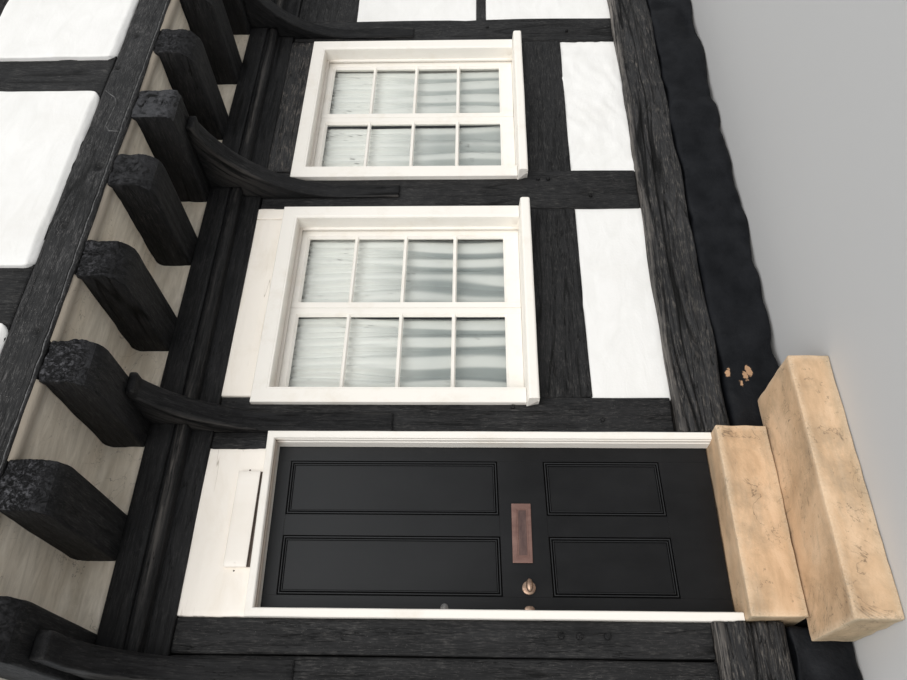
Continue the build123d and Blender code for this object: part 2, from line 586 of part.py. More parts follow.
# Net curtains in the street windows, each pair parted on one rod
rod_z = WINDOW_OPENING_TOP - ROD_DROP
rod_y = FRONT + (SASH_BACK + SASH_T + WALL_T) / 2
curtain_foot = WINDOW_RAIL_TOP + WINDOW_SILL_T + CURTAIN_UP
with BuildPart() as curtain_rods:
    for centre_x, bay in front_windows:
        with Locations((centre_x, rod_y, rod_z)):
            Cylinder(ROD_R, WINDOW_OPENING_W, rotation=(0, 90, 0))
save(curtain_rods.part, "curtain_rods")

for name, window_x in (("left_net_curtains", left_window_x), ("right_net_curtains", right_window_x)):
    with BuildPart() as curtains:
        for side in (-1, 1):
            centre_x = window_x + side * (WINDOW_OPENING_W / 2 - CURTAIN_SIDE_GAP - CURTAIN_W / 2)
            block(around(centre_x, CURTAIN_W), (rod_y - CURTAIN_T / 2, rod_y + CURTAIN_T / 2),
                  (curtain_foot, rod_z - ROD_R - CURTAIN_ROD_GAP))
    save(curtains.part, name)

# Upper floor frame
upper_wall = (UPPER_FRONT, INSIDE_UPPER)
upper_panel = (UPPER_FRONT - UPPER_PANEL_OUT, INSIDE_UPPER - PANEL_BACK)
with BuildPart() as upper_posts:
    for span in upper_posts_x:
        block(span, upper_wall, (JETTY_BEAM_TOP, EAVES_PLATE_BOTTOM))
    for span in rear_posts_x:
        block(span, rear_wall, (JOIST_TOP, EAVES_PLATE_BOTTOM))
save(upper_posts.part, "upper_posts")

with BuildPart() as upper_rails:
    for bay in upper_bays:
        block(bay, (UPPER_FRONT + RAIL_BACK, INSIDE_UPPER), (UPPER_RAIL_BOTTOM, UPPER_RAIL_TOP))
    for bay in rear_bays:
        block(bay, (INSIDE_REAR, REAR - RAIL_BACK), (UPPER_RAIL_BOTTOM, UPPER_RAIL_TOP))
save(upper_rails.part, "upper_rails")

with BuildPart() as upper_panels:
    for bay in upper_bays:
        block(bay, upper_panel, (JETTY_BEAM_TOP, UPPER_RAIL_BOTTOM))
    for bay in (upper_bays[0], upper_bays[-1]):
        block(bay, upper_panel, (UPPER_RAIL_TOP, EAVES_PLATE_BOTTOM))
    for bay in rear_bays:
        block(bay, rear_panel, (JOIST_TOP, UPPER_RAIL_BOTTOM))
        if bay not in window_bays:
            block(bay, rear_panel, (UPPER_RAIL_TOP, EAVES_PLATE_BOTTOM))
save(upper_panels.part, "upper_panels")

with BuildPart() as eaves_plates:
    block((LEFT, RIGHT), upper_wall, (EAVES_PLATE_BOTTOM, EAVES_PLATE_TOP))
    block((LEFT, RIGHT), rear_wall, (EAVES_PLATE_BOTTOM, EAVES_PLATE_TOP))
save(eaves_plates.part, "eaves_plates")

# Party walls up to the roof at both ends, plain because the next houses stand against them
for name, x0 in (("left_party_wall", LEFT), ("right_party_wall", inside_x[1])):
    with BuildPart() as party_wall:
        with BuildSketch(Plane.YZ.offset(x0)):
            with BuildLine():
                Polyline((INSIDE_FRONT, 0), (INSIDE_FRONT, JOIST_TOP), (INSIDE_UPPER, JOIST_TOP),
                         (INSIDE_UPPER, EAVES_PLATE_TOP), (UPPER_FRONT, EAVES_PLATE_TOP),
                         (RIDGE_Y, EAVES_PLATE_TOP + (RIDGE_Y - UPPER_FRONT) * slope), (REAR, EAVES_PLATE_TOP),
                         (INSIDE_REAR, EAVES_PLATE_TOP), (INSIDE_REAR, 0), close=True)
            make_face()
        extrude(amount=PARTY_WALL_T)
    save(party_wall.part, name)

# Roof
rise = ROOF_T / cos(radians(ROOF_PITCH))
ridge_z = EAVES_PLATE_TOP + (RIDGE_Y - UPPER_FRONT) * slope
for name, wall_y, way in (("front_roof_slope", UPPER_FRONT, -1), ("rear_roof_slope", REAR, 1)):
    eaves_y = wall_y + way * EAVES_OUT
    eaves_z = EAVES_PLATE_TOP - EAVES_OUT * slope
    with BuildPart() as roof_side:
        with BuildSketch(Plane.YZ.offset(LEFT)):
            with BuildLine():
                Polyline((eaves_y, eaves_z), (RIDGE_Y, ridge_z), (RIDGE_Y, ridge_z + rise),
                         (eaves_y, eaves_z + rise), close=True)
            make_face()
        extrude(amount=HOUSE_W)
    save(roof_side.part, name)

with BuildPart() as ridge_tiles:
    with BuildSketch(Plane.YZ.offset(LEFT)):
        with BuildLine():
            apex = ridge_z + rise
            foot_z = apex - RIDGE_HALF_W * slope
            Polyline((RIDGE_Y - RIDGE_HALF_W, foot_z), (RIDGE_Y, apex), (RIDGE_Y + RIDGE_HALF_W, foot_z))
            ThreePointArc((RIDGE_Y + RIDGE_HALF_W, foot_z), (RIDGE_Y, apex + RIDGE_CROWN),
                          (RIDGE_Y - RIDGE_HALF_W, foot_z))
        make_face()
    extrude(amount=HOUSE_W)
save(ridge_tiles.part, "ridge_tiles")
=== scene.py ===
import bmesh
import bpy
import math
from mathutils import Matrix, Quaternion, Vector, noise
from mathutils.bvhtree import BVHTree


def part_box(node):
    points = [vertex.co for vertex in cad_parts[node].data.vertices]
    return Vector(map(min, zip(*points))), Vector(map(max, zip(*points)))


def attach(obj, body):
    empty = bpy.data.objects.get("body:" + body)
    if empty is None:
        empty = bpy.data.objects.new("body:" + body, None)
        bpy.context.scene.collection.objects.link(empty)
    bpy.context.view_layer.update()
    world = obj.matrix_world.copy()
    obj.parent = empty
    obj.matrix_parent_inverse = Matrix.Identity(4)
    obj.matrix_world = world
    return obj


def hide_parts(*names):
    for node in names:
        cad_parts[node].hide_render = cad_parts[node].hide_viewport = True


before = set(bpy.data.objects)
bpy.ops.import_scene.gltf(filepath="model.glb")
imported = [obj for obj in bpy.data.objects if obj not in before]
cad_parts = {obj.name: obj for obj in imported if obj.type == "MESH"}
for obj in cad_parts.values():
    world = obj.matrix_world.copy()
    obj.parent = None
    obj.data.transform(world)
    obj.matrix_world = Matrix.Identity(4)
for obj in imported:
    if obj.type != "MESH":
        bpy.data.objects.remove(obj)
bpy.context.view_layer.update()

# Street posts and the back posts: squared oak stood on the sill beam, adzed by hand, painted black
# many times over and weathered since, so the arrises are worn and the grain stands proud.


def solids(node):
    """The lowest and highest corner of each separate solid of a CAD node, from left to right."""
    form = bmesh.new()
    form.from_mesh(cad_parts[node].data)
    bmesh.ops.remove_doubles(form, verts=form.verts, dist=1e-5)
    waiting, found = set(form.verts), []
    while waiting:
        reached = {waiting.pop()}
        island = set(reached)
        while reached:
            near = {edge.other_vert(v) for v in reached for edge in v.link_edges}
            reached = near - island
            island |= reached
        waiting -= island
        corners = [v.co for v in island]
        low = Vector(min(co[i] for co in corners) for i in range(3))
        high = Vector(max(co[i] for co in corners) for i in range(3))
        found.append((low, high))
    form.free()
    return sorted(found, key=lambda pair: (round(pair[0].x, 3), round(pair[0].y, 3), pair[0].z))


def clamped(value):
    """A value held between 0 and 1."""
    return min(1, max(0, value))


def eased(form, edges, offset, segments=2):
    """Rounds some edges of a form."""
    bmesh.ops.bevel(form, geom=edges, offset=offset, segments=segments, affect="EDGES", profile=0.5,
                    material=-1)


def squared(low, high, steps, arris, segments=2):
    """A block with rounded arrises, cut into cells of about the given size along x, y and z."""
    form = bmesh.new()
    size = high - low
    place = Matrix.Translation((low + high) / 2) @ Matrix.Diagonal((*size, 1))
    bmesh.ops.create_cube(form, size=1, matrix=place)
    eased(form, form.edges[:], arris, segments)
    for axis, step in enumerate(steps):
        along = []
        for edge in form.edges:
            run = edge.verts[1].co - edge.verts[0].co
            if abs(run[axis]) > 0.999 * run.length and run.length > size[axis] - 3 * arris:
                along.append(edge)
        cuts = round(size[axis] / step) - 1
        if cuts > 0 and along:
            bmesh.ops.subdivide_edges(form, edges=along, cuts=cuts)
    return form


def add_to(whole, part):
    """Joins one bmesh onto another, with what is noted on its vertices."""
    for name in part.verts.layers.float.keys():
        if name not in whole.verts.layers.float:
            whole.verts.layers.float.new(name)
    for name in part.verts.layers.float_vector.keys():
        if name not in whole.verts.layers.float_vector:
            whole.verts.layers.float_vector.new(name)
    mesh = bpy.data.meshes.new("joined")
    part.to_mesh(mesh)
    part.free()
    whole.from_mesh(mesh)
    bpy.data.meshes.remove(mesh)


def hand_worked(form, grain, bow=0.005, adze=0.003, ridge=0.0012, splits=0.003, seed=0.0):
    """Moves the surface in and out: a slow bow, shallow adze marks, raised grain and open splits along one
    axis. How far each place is split is noted as "cut", for the finish, which paints the splits near black as
    painted shade."""
    cut = form.verts.layers.float.new("cut")
    form.normal_update()
    wide = Vector((9, 9, 9))
    fine = Vector((42, 42, 42))
    narrow = Vector((15, 15, 15))
    wide[grain] = 2.2
    fine[grain] = 2.5
    narrow[grain] = 1.1
    shift = Vector((seed * 3.7, seed * 5.1, seed * 2.3))
    for v in form.verts:
        place = v.co + shift
        out = bow * noise.noise(place * 0.9)
        out += adze * noise.noise(place * wide)
        out += ridge * noise.noise(place * fine)
        split = max(0, 1 - abs(noise.noise(place * narrow)) / 0.11)
        split *= clamped(4 * noise.noise(place * 1.7 + shift))
        v[cut] = split
        v.co += v.normal * (out - splits * split)


def piece(name, form, body="house", stands_for=(), finish=(), smooth=True):
    """Turns a bmesh into a finished piece that rides on a body and stands for CAD nodes."""
    mesh = bpy.data.meshes.new(name)
    form.to_mesh(mesh)
    form.free()
    thing = bpy.data.objects.new(name, mesh)
    bpy.context.collection.objects.link(thing)
    for surface in finish:
        mesh.materials.append(surface.material)
    if smooth:
        mesh.shade_smooth()
    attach(thing, body)
    if stands_for:
        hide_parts(*stands_for)
    return thing


class Finish:
    """A procedural surface, made of noises on a piece's own coordinates or on an attribute of its mesh."""

    def __init__(self, name, roughness=0.6, metallic=0.0, shine=0.5, attribute=None):
        self.material = bpy.data.materials.new(name)
        self.material.use_nodes = True
        self.nodes = self.material.node_tree.nodes
        self.links = self.material.node_tree.links
        self.surface = self.nodes["Principled BSDF"]
        self.surface.inputs["Roughness"].default_value = roughness
        self.surface.inputs["Metallic"].default_value = metallic
        self.surface.inputs["Specular IOR Level"].default_value = shine
        self.place = self.nodes.new("ShaderNodeTexCoord").outputs["Object"]
        if attribute:
            self.place = self.attribute(attribute).outputs["Vector"]
        self.normal = None

    def attribute(self, name):
        node = self.nodes.new("ShaderNodeAttribute")
        node.attribute_name = name
        return node

    def noted(self, name):
        """What the vertices of a piece note under a name."""
        return self.attribute(name).outputs["Fac"]

    def noise(self, scale, stretch=(1, 1, 1), detail=4.0, roughness=0.55, warp=0.0, shift=(0, 0, 0)):
        mapping = self.nodes.new("ShaderNodeMapping")
        mapping.inputs["Scale"].default_value = stretch
        mapping.inputs["Location"].default_value = shift
        self.links.new(self.place, mapping.inputs["Vector"])
        texture = self.nodes.new("ShaderNodeTexNoise")
        texture.inputs["Scale"].default_value = scale
        texture.inputs["Detail"].default_value = detail
        texture.inputs["Roughness"].default_value = roughness
        texture.inputs["Distortion"].default_value = warp
        self.links.new(mapping.outputs[0], texture.inputs["Vector"])
        return texture.outputs["Fac"]

    def far(self, centre, stretch=(1, 1, 1)):
        """How far each place is from a centre, each axis counted more or less by its stretch."""
        nodes = [self.nodes.new("ShaderNodeVectorMath") for _ in range(3)]
        for node, operation in zip(nodes, ("SUBTRACT", "MULTIPLY", "LENGTH")):
            node.operation = operation
        self.links.new(self.place, nodes[0].inputs[0])
        nodes[0].inputs[1].default_value = centre
        self.links.new(nodes[0].outputs[0], nodes[1].inputs[0])
        nodes[1].inputs[1].default_value = stretch
        self.links.new(nodes[1].outputs[0], nodes[2].inputs[0])
        return nodes[2].outputs["Value"]

    def sum(self, operation, a, b):
        node = self.nodes.new("ShaderNodeMath")
        node.operation = operation
        for socket, value in zip(node.inputs, (a, b)):
            if isinstance(value, (int, float)):
                socket.default_value = value
            else:
                self.links.new(value, socket)
        return node.outputs[0]

    def times(self, a, b):
        return self.sum("MULTIPLY", a, b)

    def ramp(self, source, *stops):
        node = self.nodes.new("ShaderNodeValToRGB")
        elements = node.color_ramp.elements
        while len(elements) < len(stops):
            elements.new(0.5)
        for element, (position, value) in zip(elements, stops):
            element.position = position
            colour = (value, value, value) if isinstance(value, (int, float)) else value
            element.color = (*colour, 1)
        self.links.new(source, node.inputs["Fac"])
        return node.outputs["Color"]

    def lines(self, source, width, strength=1.0):
        """Thin lines where a noise passes through its middle."""
        from_middle = self.sum("ABSOLUTE", self.sum("SUBTRACT", source, 0.5), 0)
        return self.ramp(from_middle, (0.0, strength), (width, 0.0))

    def mix(self, factor, a, b):
        node = self.nodes.new("ShaderNodeMix")
        node.data_type = "RGBA"
        self.links.new(factor, node.inputs["Factor"])
        for socket, value in ((node.inputs[6], a), (node.inputs[7], b)):
            if isinstance(value, tuple):
                socket.default_value = (*value, 1)
            else:
                self.links.new(value, socket)
        return node.outputs[2]

    def bump(self, height, depth, strength=1.0):
        node = self.nodes.new("ShaderNodeBump")
        node.inputs["Strength"].default_value = strength
        node.inputs["Distance"].default_value = depth
        self.links.new(height, node.inputs["Height"])
        if self.normal:
            self.links.new(self.normal, node.inputs["Normal"])
        self.normal = node.outputs["Normal"]
        self.links.new(self.normal, self.surface.inputs["Normal"])

    def sink(self, lines, depth, strength=1.0):
        """Sinks the surface along lines."""
        self.bump(self.sum("SUBTRACT", 1.0, lines), depth, strength)

    def set(self, socket, value):
        self.links.new(value, self.surface.inputs[socket])

    def paint(self, source, *stops):
        self.set("Base Color", self.ramp(source, *stops))


def black_oak(name, grain, worn=1.0, rough=1.0, shine=0.22, bare=(0.105, 0.100, 0.095), dust=1.0,
              attribute=None, fibres=170, wavy=1.0):
    """Old black paint over weathered oak whose grain runs along one axis: 0, 1 or 2 for x, y or z. worn bares
    more of the wood, rough deepens the grain, dust pales the paint, and what the vertices note as worn and
    highlit is palest: bare wood, and a painted highlight on edges and rolls.
    fibres is how fine the grain is, and wavy how far it wanders."""
    finish = Finish(name, shine=shine, attribute=attribute)
    along = [1.0, 1.0, 1.0]
    along[grain] = 0.10
    fibre = finish.noise(fibres, along, detail=6, roughness=0.75, warp=0.2 * wavy)
    along[grain] = 0.06
    strand = finish.noise(48, along, detail=6, roughness=0.68, warp=0.35 * wavy, shift=(6, 2, 9))
    line = finish.noise(19, along, detail=4, roughness=0.6, warp=0.5 * wavy, shift=(3, 1, 2))
    broad = finish.noise(1.9, detail=4, roughness=0.6)
    patch = finish.noise(13, detail=7, roughness=0.72)
    specks = finish.ramp(finish.noise(230, detail=2), (0.70, 0.0), (0.73, 1.0))
    fissure = finish.lines(line, 0.007)
    split = finish.ramp(finish.noted("cut"), (0.30, 0.0), (0.85, 1.0))
    wear_and_highlight = finish.times(finish.ramp(fibre, (0.50, 0.0), (0.66, 1.0)),
                          finish.ramp(patch, (0.42, 0.12 * worn), (0.68, 0.9 * worn)))
    dark, dusty, pale = (tuple(part * dust for part in colour) for colour in (
        (0.004, 0.0042, 0.0047), (0.016, 0.0162, 0.0170), (0.023, 0.023, 0.024)))
    paint = finish.ramp(strand, (0.36, dark), (0.64, dusty))
    paint = finish.mix(finish.ramp(broad, (0.45, 0.0), (0.75, 0.7)), paint, pale)
    colour = finish.mix(wear_and_highlight, paint, bare)
    # Paler where the vertices note wear and highlight: bare wood, and a painted highlight on edges and rolls.
    edges = finish.times(finish.noted("wear_and_highlight"), finish.ramp(strand, (0.43, 0.05), (0.56, 1.0)))
    colour = finish.mix(edges, colour, (0.200, 0.182, 0.165))
    # Near black in the fissure lines, and in the splits and hollows noted as cut, where the darkness is
    # painted shade.
    colour = finish.mix(finish.sum("MAXIMUM", fissure, split), colour, (0.002, 0.002, 0.002))
    colour = finish.mix(finish.times(specks, 0.5 * worn), colour, (0.24, 0.23, 0.22))
    finish.set("Base Color", colour)
    finish.set("Roughness", finish.ramp(fibre, (0.3, 0.70), (0.7, 0.50)))
    finish.bump(patch, 0.004, 0.25 * rough)
    finish.bump(strand, 0.005, 0.8 * rough)
    finish.bump(fibre, 0.0018, 0.9 * rough)
    finish.sink(fissure, 0.003, 0.8 * rough)
    return finish


oak_upright = black_oak("black_oak_upright", 2, fibres=250, wavy=0.5)
posts = bmesh.new()
for number, (low, high) in enumerate(solids("ground_posts")):
    at_street = low.y < 0
    steps = (0.010, 0.03, 0.03) if at_street else (0.06, 0.09, 0.12)
    post = squared(low, high, steps, 0.009)
    hand_worked(post, 2, splits=0.005 if at_street else 0, seed=number)
    add_to(posts, post)
piece("old_posts", posts, stands_for=["ground_posts"], finish=[oak_upright])

# Oak pegs that pin the joints: riven pins driven through the posts, their ends cut off just proud of the
# oak and painted over. Those beside the door are thicker.
oak_through = black_oak("black_oak_through", 1, worn=0.5, rough=0.6, shine=0.12)
wall_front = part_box("ground_posts")[0].y
pegs = bmesh.new()
street_posts = [pair for pair in solids("ground_posts") if pair[0].y < 0]
BIG_PEGS = [(-2.659, 1.178), (-2.661, 1.102), (-2.660, 0.987)]
peg_places = list(BIG_PEGS)
other_pegs = [(2, 0.35, 0.92), (2, 0.7, 1.35), (3, 0.3, 0.86), (3, 0.75, 1.10), (3, 0.75, 1.16),
              (4, 0.4, 0.90), (4, 0.6, 1.45)]
for post, across, height in other_pegs:
    low, high = street_posts[post]
    peg_places.append((low.x + across * (high.x - low.x), height))
for count, (x, height) in enumerate(peg_places):
    radius = 0.016 if count < len(BIG_PEGS) else 0.012
    peg = bmesh.new()
    bmesh.ops.create_cone(peg, cap_ends=True, segments=9, radius1=radius, radius2=radius - 0.002, depth=0.032,
                          matrix=Matrix.Translation((x, wall_front, height))
                          @ Matrix.Rotation(math.radians(90), 4, "X"))
    sharp = [edge for edge in peg.edges if all(v.co.y < wall_front for v in edge.verts)]
    eased(peg, sharp, 0.003)
    add_to(pegs, peg)
piece("oak_pegs", pegs, finish=[oak_through])

# Sill beams: the heaviest timbers, laid along the footing, the most weathered and fissured of all, with
# a lower edge worn ragged by splashing rain.
sills = bmesh.new()
for number, (low, high) in enumerate(solids("sill_beams")):
    at_street = low.y < 0
    steps = (0.022, 0.035, 0.0065) if at_street else (0.12, 0.09, 0.06)
    beam = squared(low, high, steps, 0.014)
    hand_worked(beam, 0, bow=0.010, adze=0.007, ridge=0.005, splits=0.016 if at_street else 0,
                seed=20 + number)
    cut = beam.verts.layers.float["cut"]
    top_edge_wear_and_highlight = beam.verts.layers.float.new("wear_and_highlight")
    for v in beam.verts:
        if at_street and v.co.y < low.y + 0.08:
            down = (high.z - v.co.z) / (high.z - low.z)
            band = min(1, max(0, (down - 0.12) / 0.08), max(0, (0.68 - down) / 0.15))
            lines = abs(noise.noise(Vector((v.co.x * 0.9, 3.3, v.co.z * 25 + 0.8 * math.sin(v.co.x * 2.1)))))
            groove = band * max(0, 1 - lines / 0.21)
            # Grooves sunk into the face and noted as cut, so that they are painted near black: painted shade
            # in them.
            v.co.y += 0.013 * groove
            v[cut] = max(v[cut] * (0.4 + 0.6 * band), min(1, 1.2 * groove))
            # The top arris is painted paler: worn wood, and a painted highlight where the top catches the
            # light.
            worn = 0.75 + 0.9 * noise.noise(Vector((v.co.x * 1.9, 8.1, v.co.z * 6)))
            v[top_edge_wear_and_highlight] = clamped(worn) * max(0, 1 - down / 0.17)
            v.co.z += 0.014 * noise.noise(Vector((v.co.x * 3.1, 7.3, v.co.z * 4)))
    add_to(sills, beam)
piece("old_sill_beams", sills, stands_for=["sill_beams"],
      finish=[black_oak("black_oak_fissured", 0, worn=1.25, rough=1.3, bare=(0.180, 0.163, 0.143), dust=1.9)])

# Rails of squared and painted oak, tenoned between the posts: under the windows and across the panel bay
# of the ground floor, and in the upper storey.
oak_level = black_oak("black_oak_level", 0, fibres=250, wavy=0.5)
rails = bmesh.new()
for number, (low, high) in enumerate(solids("ground_rails") + solids("upper_rails")):
    at_street = low.y < 0
    rail = squared(low, high, (0.03, 0.04, 0.009) if at_street else (0.12, 0.09, 0.05), 0.008)
    hand_worked(rail, 0, splits=0.005 if at_street else 0, seed=40 + number)
    add_to(rails, rail)
piece("old_rails", rails, stands_for=["ground_rails", "upper_rails"], finish=[oak_level])

# The moulded plate over the street posts: one long oak planed to a fascia over a groove, a roll and a
# lower band. The joists lie across it, and along its roll runs a paler streak, a painted highlight with some
# wear.


def cad_form(node):
    """The shape of a CAD node without the edges inside its flat faces."""
    form = bmesh.new()
    form.from_mesh(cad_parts[node].data)
    bmesh.ops.remove_doubles(form, verts=form.verts, dist=1e-5)
    bmesh.ops.dissolve_limit(form, angle_limit=0.01, verts=form.verts, edges=form.edges)
    return form


def cut_across(form, axis, place):
    """Cuts the faces of a form where a plane across one axis meets them."""
    normal = Vector((0, 0, 0))
    normal[axis] = 1
    bmesh.ops.bisect_plane(form, geom=form.verts[:] + form.edges[:] + form.faces[:], plane_co=normal * place,
                           plane_no=normal)


oak_smooth = black_oak("black_oak_smooth", 0, worn=0.35, rough=0.35, shine=0.16)
ROLL_DEPTH = 0.150
plate_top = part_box("moulded_wall_plate")[1].z
plate = cad_form("moulded_wall_plate")
long_edges = [edge for edge in plate.edges if edge.calc_length() > 5 and len(edge.link_faces) == 2
              and edge.calc_face_angle() > 0.6]
eased(plate, long_edges, 0.005)
long_edges = [edge for edge in plate.edges if edge.calc_length() > 5]
bmesh.ops.subdivide_edges(plate, edges=long_edges, cuts=190)
for height in (0.03, 0.06, 0.09, 0.14, 0.16, 0.20, 0.22, 0.24, 0.26):
    cut_across(plate, 2, plate_top - height)
hand_worked(plate, 0, bow=0.004, adze=0.0018, ridge=0.0006, splits=0, seed=60)
# A paler streak along the roll: a painted highlight, with some wear.
roll_highlight = plate.verts.layers.float.new("wear_and_highlight")
for v in plate.verts:
    near_roll = max(0, 1 - abs(plate_top - ROLL_DEPTH - v.co.z) / 0.022)
    v[roll_highlight] = near_roll * max(0, 0.26 + 0.6 * noise.noise(Vector((v.co.x * 1.4, 5.5, 2.1))))
piece("old_wall_plate", plate, stands_for=["moulded_wall_plate"], finish=[oak_smooth])

# Jetty joists: squared oaks laid flat over the plate, their street ends worn round below, with the cracked
# and gnarled end grain that a cut beam gets. The part in the house only carries the floor.
wall_inside = solids("moulded_wall_plate")[0][1].y


def end_grain(name):
    """The cut end of a beam: finely cracked and knobbly, and a little greyer than the sides."""
    finish = Finish(name, shine=0.18)
    wander = finish.noise(13, (1, 1, 0.45), detail=6, roughness=0.7, warp=1.9)
    cracks = finish.lines(wander, 0.022)
    sparse = finish.ramp(finish.noise(8, detail=2, shift=(4, 4, 4)), (0.38, 0.0), (0.50, 1.0))
    cracks = finish.times(cracks, sparse)
    cracks = finish.sum("MAXIMUM", cracks, finish.ramp(finish.noted("checked"), (0.25, 0.0), (0.70, 1.0)))
    knobs = finish.noise(42, detail=7, roughness=0.75, warp=0.8)
    dust = finish.ramp(knobs, (0.38, (0.006, 0.006, 0.007)), (0.72, (0.030, 0.030, 0.032)))
    bared = finish.times(finish.noted("bared"), finish.ramp(knobs, (0.3, 0.4), (0.6, 1.0)))
    dust = finish.mix(bared, dust, (0.060, 0.061, 0.066))
    crust = finish.noise(62, detail=4, roughness=0.6, warp=0.8, shift=(2, 7, 5))
    crusted = finish.noted("crusted")
    flakes = finish.ramp(crust, (0.43, (0.004, 0.004, 0.0045)), (0.50, (0.026, 0.026, 0.029)),
                         (0.62, (0.085, 0.085, 0.092)))
    dust = finish.mix(crusted, dust, flakes)
    finish.set("Base Color", finish.mix(cracks, dust, (0.003, 0.003, 0.003)))
    finish.set("Roughness", finish.ramp(knobs, (0.3, 0.75), (0.7, 0.5)))
    finish.bump(knobs, 0.010, 0.8)
    finish.bump(finish.times(finish.ramp(crust, (0.42, 0.0), (0.58, 1.0)), crusted), 0.008, 0.9)
    finish.sink(cracks, 0.008, 0.9)
    return finish


nose_rounds = [0.095, 0.115, 0.120, 0.115, 0.105, 0.045, 0.110, 0.100, 0.115, 0.105, 0.095, 0.110]
crusted_ends = [0.7, 1.0, 0.85, 0.45, 0.1, 0.0, 0.4, 0.2, 0.6, 0.3, 0.8, 0.4]
split_ends = [0.4, 0.4, 0.5, 0.8, 0.4, 1.0, 0.4, 0.6, 0.4, 0.8, 0.4, 0.5]
joists = bmesh.new()
for number, ((low, high), round_r) in enumerate(zip(solids("jetty_joists"), nose_rounds)):
    split_y = wall_inside - 0.05
    joist = squared(low, Vector((high.x, split_y, high.z)), (0.0085, 0.028, 0.0085), 0.013, segments=3)
    for v in joist.verts:
        back, up = v.co.y - low.y, v.co.z - low.z
        if back < round_r and up < round_r:
            away = math.hypot(back - round_r, up - round_r)
            if away > round_r:
                v.co.y = low.y + round_r + (back - round_r) * round_r / away
                v.co.z = low.z + round_r + (up - round_r) * round_r / away
    hand_worked(joist, 1, splits=0.002, seed=80 + number)
    bared = joist.verts.layers.float.new("bared")
    checked = joist.verts.layers.float.new("checked")
    crusted = joist.verts.layers.float.new("crusted")
    for v in joist.verts:
        v[bared] = 1.0 if number == 5 else 0.25 * (number % 3)
        v[crusted] = crusted_ends[number] * clamped((v.co.z - low.z - 0.045) / 0.05)
        near = max(0, 1 - (v.co.y - low.y) / 0.09)
        if near:
            place = v.co * 21 + Vector((0, 0, number * 9.0))
            upright = abs(noise.noise(Vector((v.co.x * 19, number * 3.1, v.co.z * 6))))
            level = abs(noise.noise(Vector((v.co.x * 6, number * 5.7, v.co.z * 17))))
            check = max(0, 1 - upright / 0.10, 1 - level / 0.07) if near > 0.4 else 0
            check *= split_ends[number] * clamped(0.7 + 2.2 * noise.noise(place * 0.5))
            v[checked] = check
            gnarled = 0.008 * noise.noise(place) - 0.007 * abs(noise.noise(place * 2.1))
            v.co += v.normal * near * (gnarled - 0.006 * check)
    for face in joist.faces:
        if face.calc_center_median().y < low.y + 0.045 and face.normal.y < -0.3:
            face.material_index = 1
    add_to(joists, joist)
    behind = squared(Vector((low.x, split_y, low.z)), high, (0.11, 0.25, 0.11), 0.008)
    hand_worked(behind, 1, seed=100 + number)
    add_to(joists, behind)
piece("old_jetty_joists", joists, stands_for=["jetty_joists"],
      finish=[oak_through, end_grain("oak_end_grain")])

# Lime plaster between the joists and on the laths under the floor boards, coved where the two meet and
# brushed with pale limewash that has yellowed in the dry under the jetty.
soffit_finish = Finish("soffit_plaster", roughness=0.9)
strokes = soffit_finish.noise(26, (0.2, 1.0, 1.0), detail=6, roughness=0.65, warp=0.5)
blots = soffit_finish.noise(3.2, detail=5, roughness=0.6, shift=(5, 2, 8))
web = soffit_finish.noise(5.5, (1, 0.7, 1), detail=4, roughness=0.6, warp=0.8, shift=(9, 9, 1))
crack = soffit_finish.lines(web, 0.004)
crack = soffit_finish.times(crack, soffit_finish.ramp(blots, (0.46, 0.0), (0.56, 0.8)))
lime = soffit_finish.ramp(strokes, (0.30, (0.56, 0.50, 0.41)), (0.70, (0.86, 0.79, 0.68)))
lime = soffit_finish.mix(soffit_finish.ramp(blots, (0.45, 0.0), (0.75, 0.6)), lime, (0.62, 0.53, 0.41))
# Darker near the jetty beam: painted shade.
lime = soffit_finish.mix(soffit_finish.noted("beam_edge_shade"), lime, (0.27, 0.235, 0.19))
soffit_finish.set("Base Color", soffit_finish.mix(crack, lime, (0.17, 0.14, 0.11)))
soffit_finish.bump(strokes, 0.006, 0.6)
soffit_finish.bump(soffit_finish.noise(75, detail=3), 0.0015, 0.5)


def drawn_along(form, outline, x, run):
    """Draws a closed outline of (y, z) points out along x into a solid, from one place on."""
    end = form.faces.new([form.verts.new((x, y, z)) for y, z in outline])
    grown = bmesh.ops.extrude_face_region(form, geom=[end])["geom"]
    moved = [g for g in grown if isinstance(g, bmesh.types.BMVert)]
    bmesh.ops.translate(form, verts=moved, vec=(run, 0, 0))
    bmesh.ops.recalc_face_normals(form, faces=form.faces)


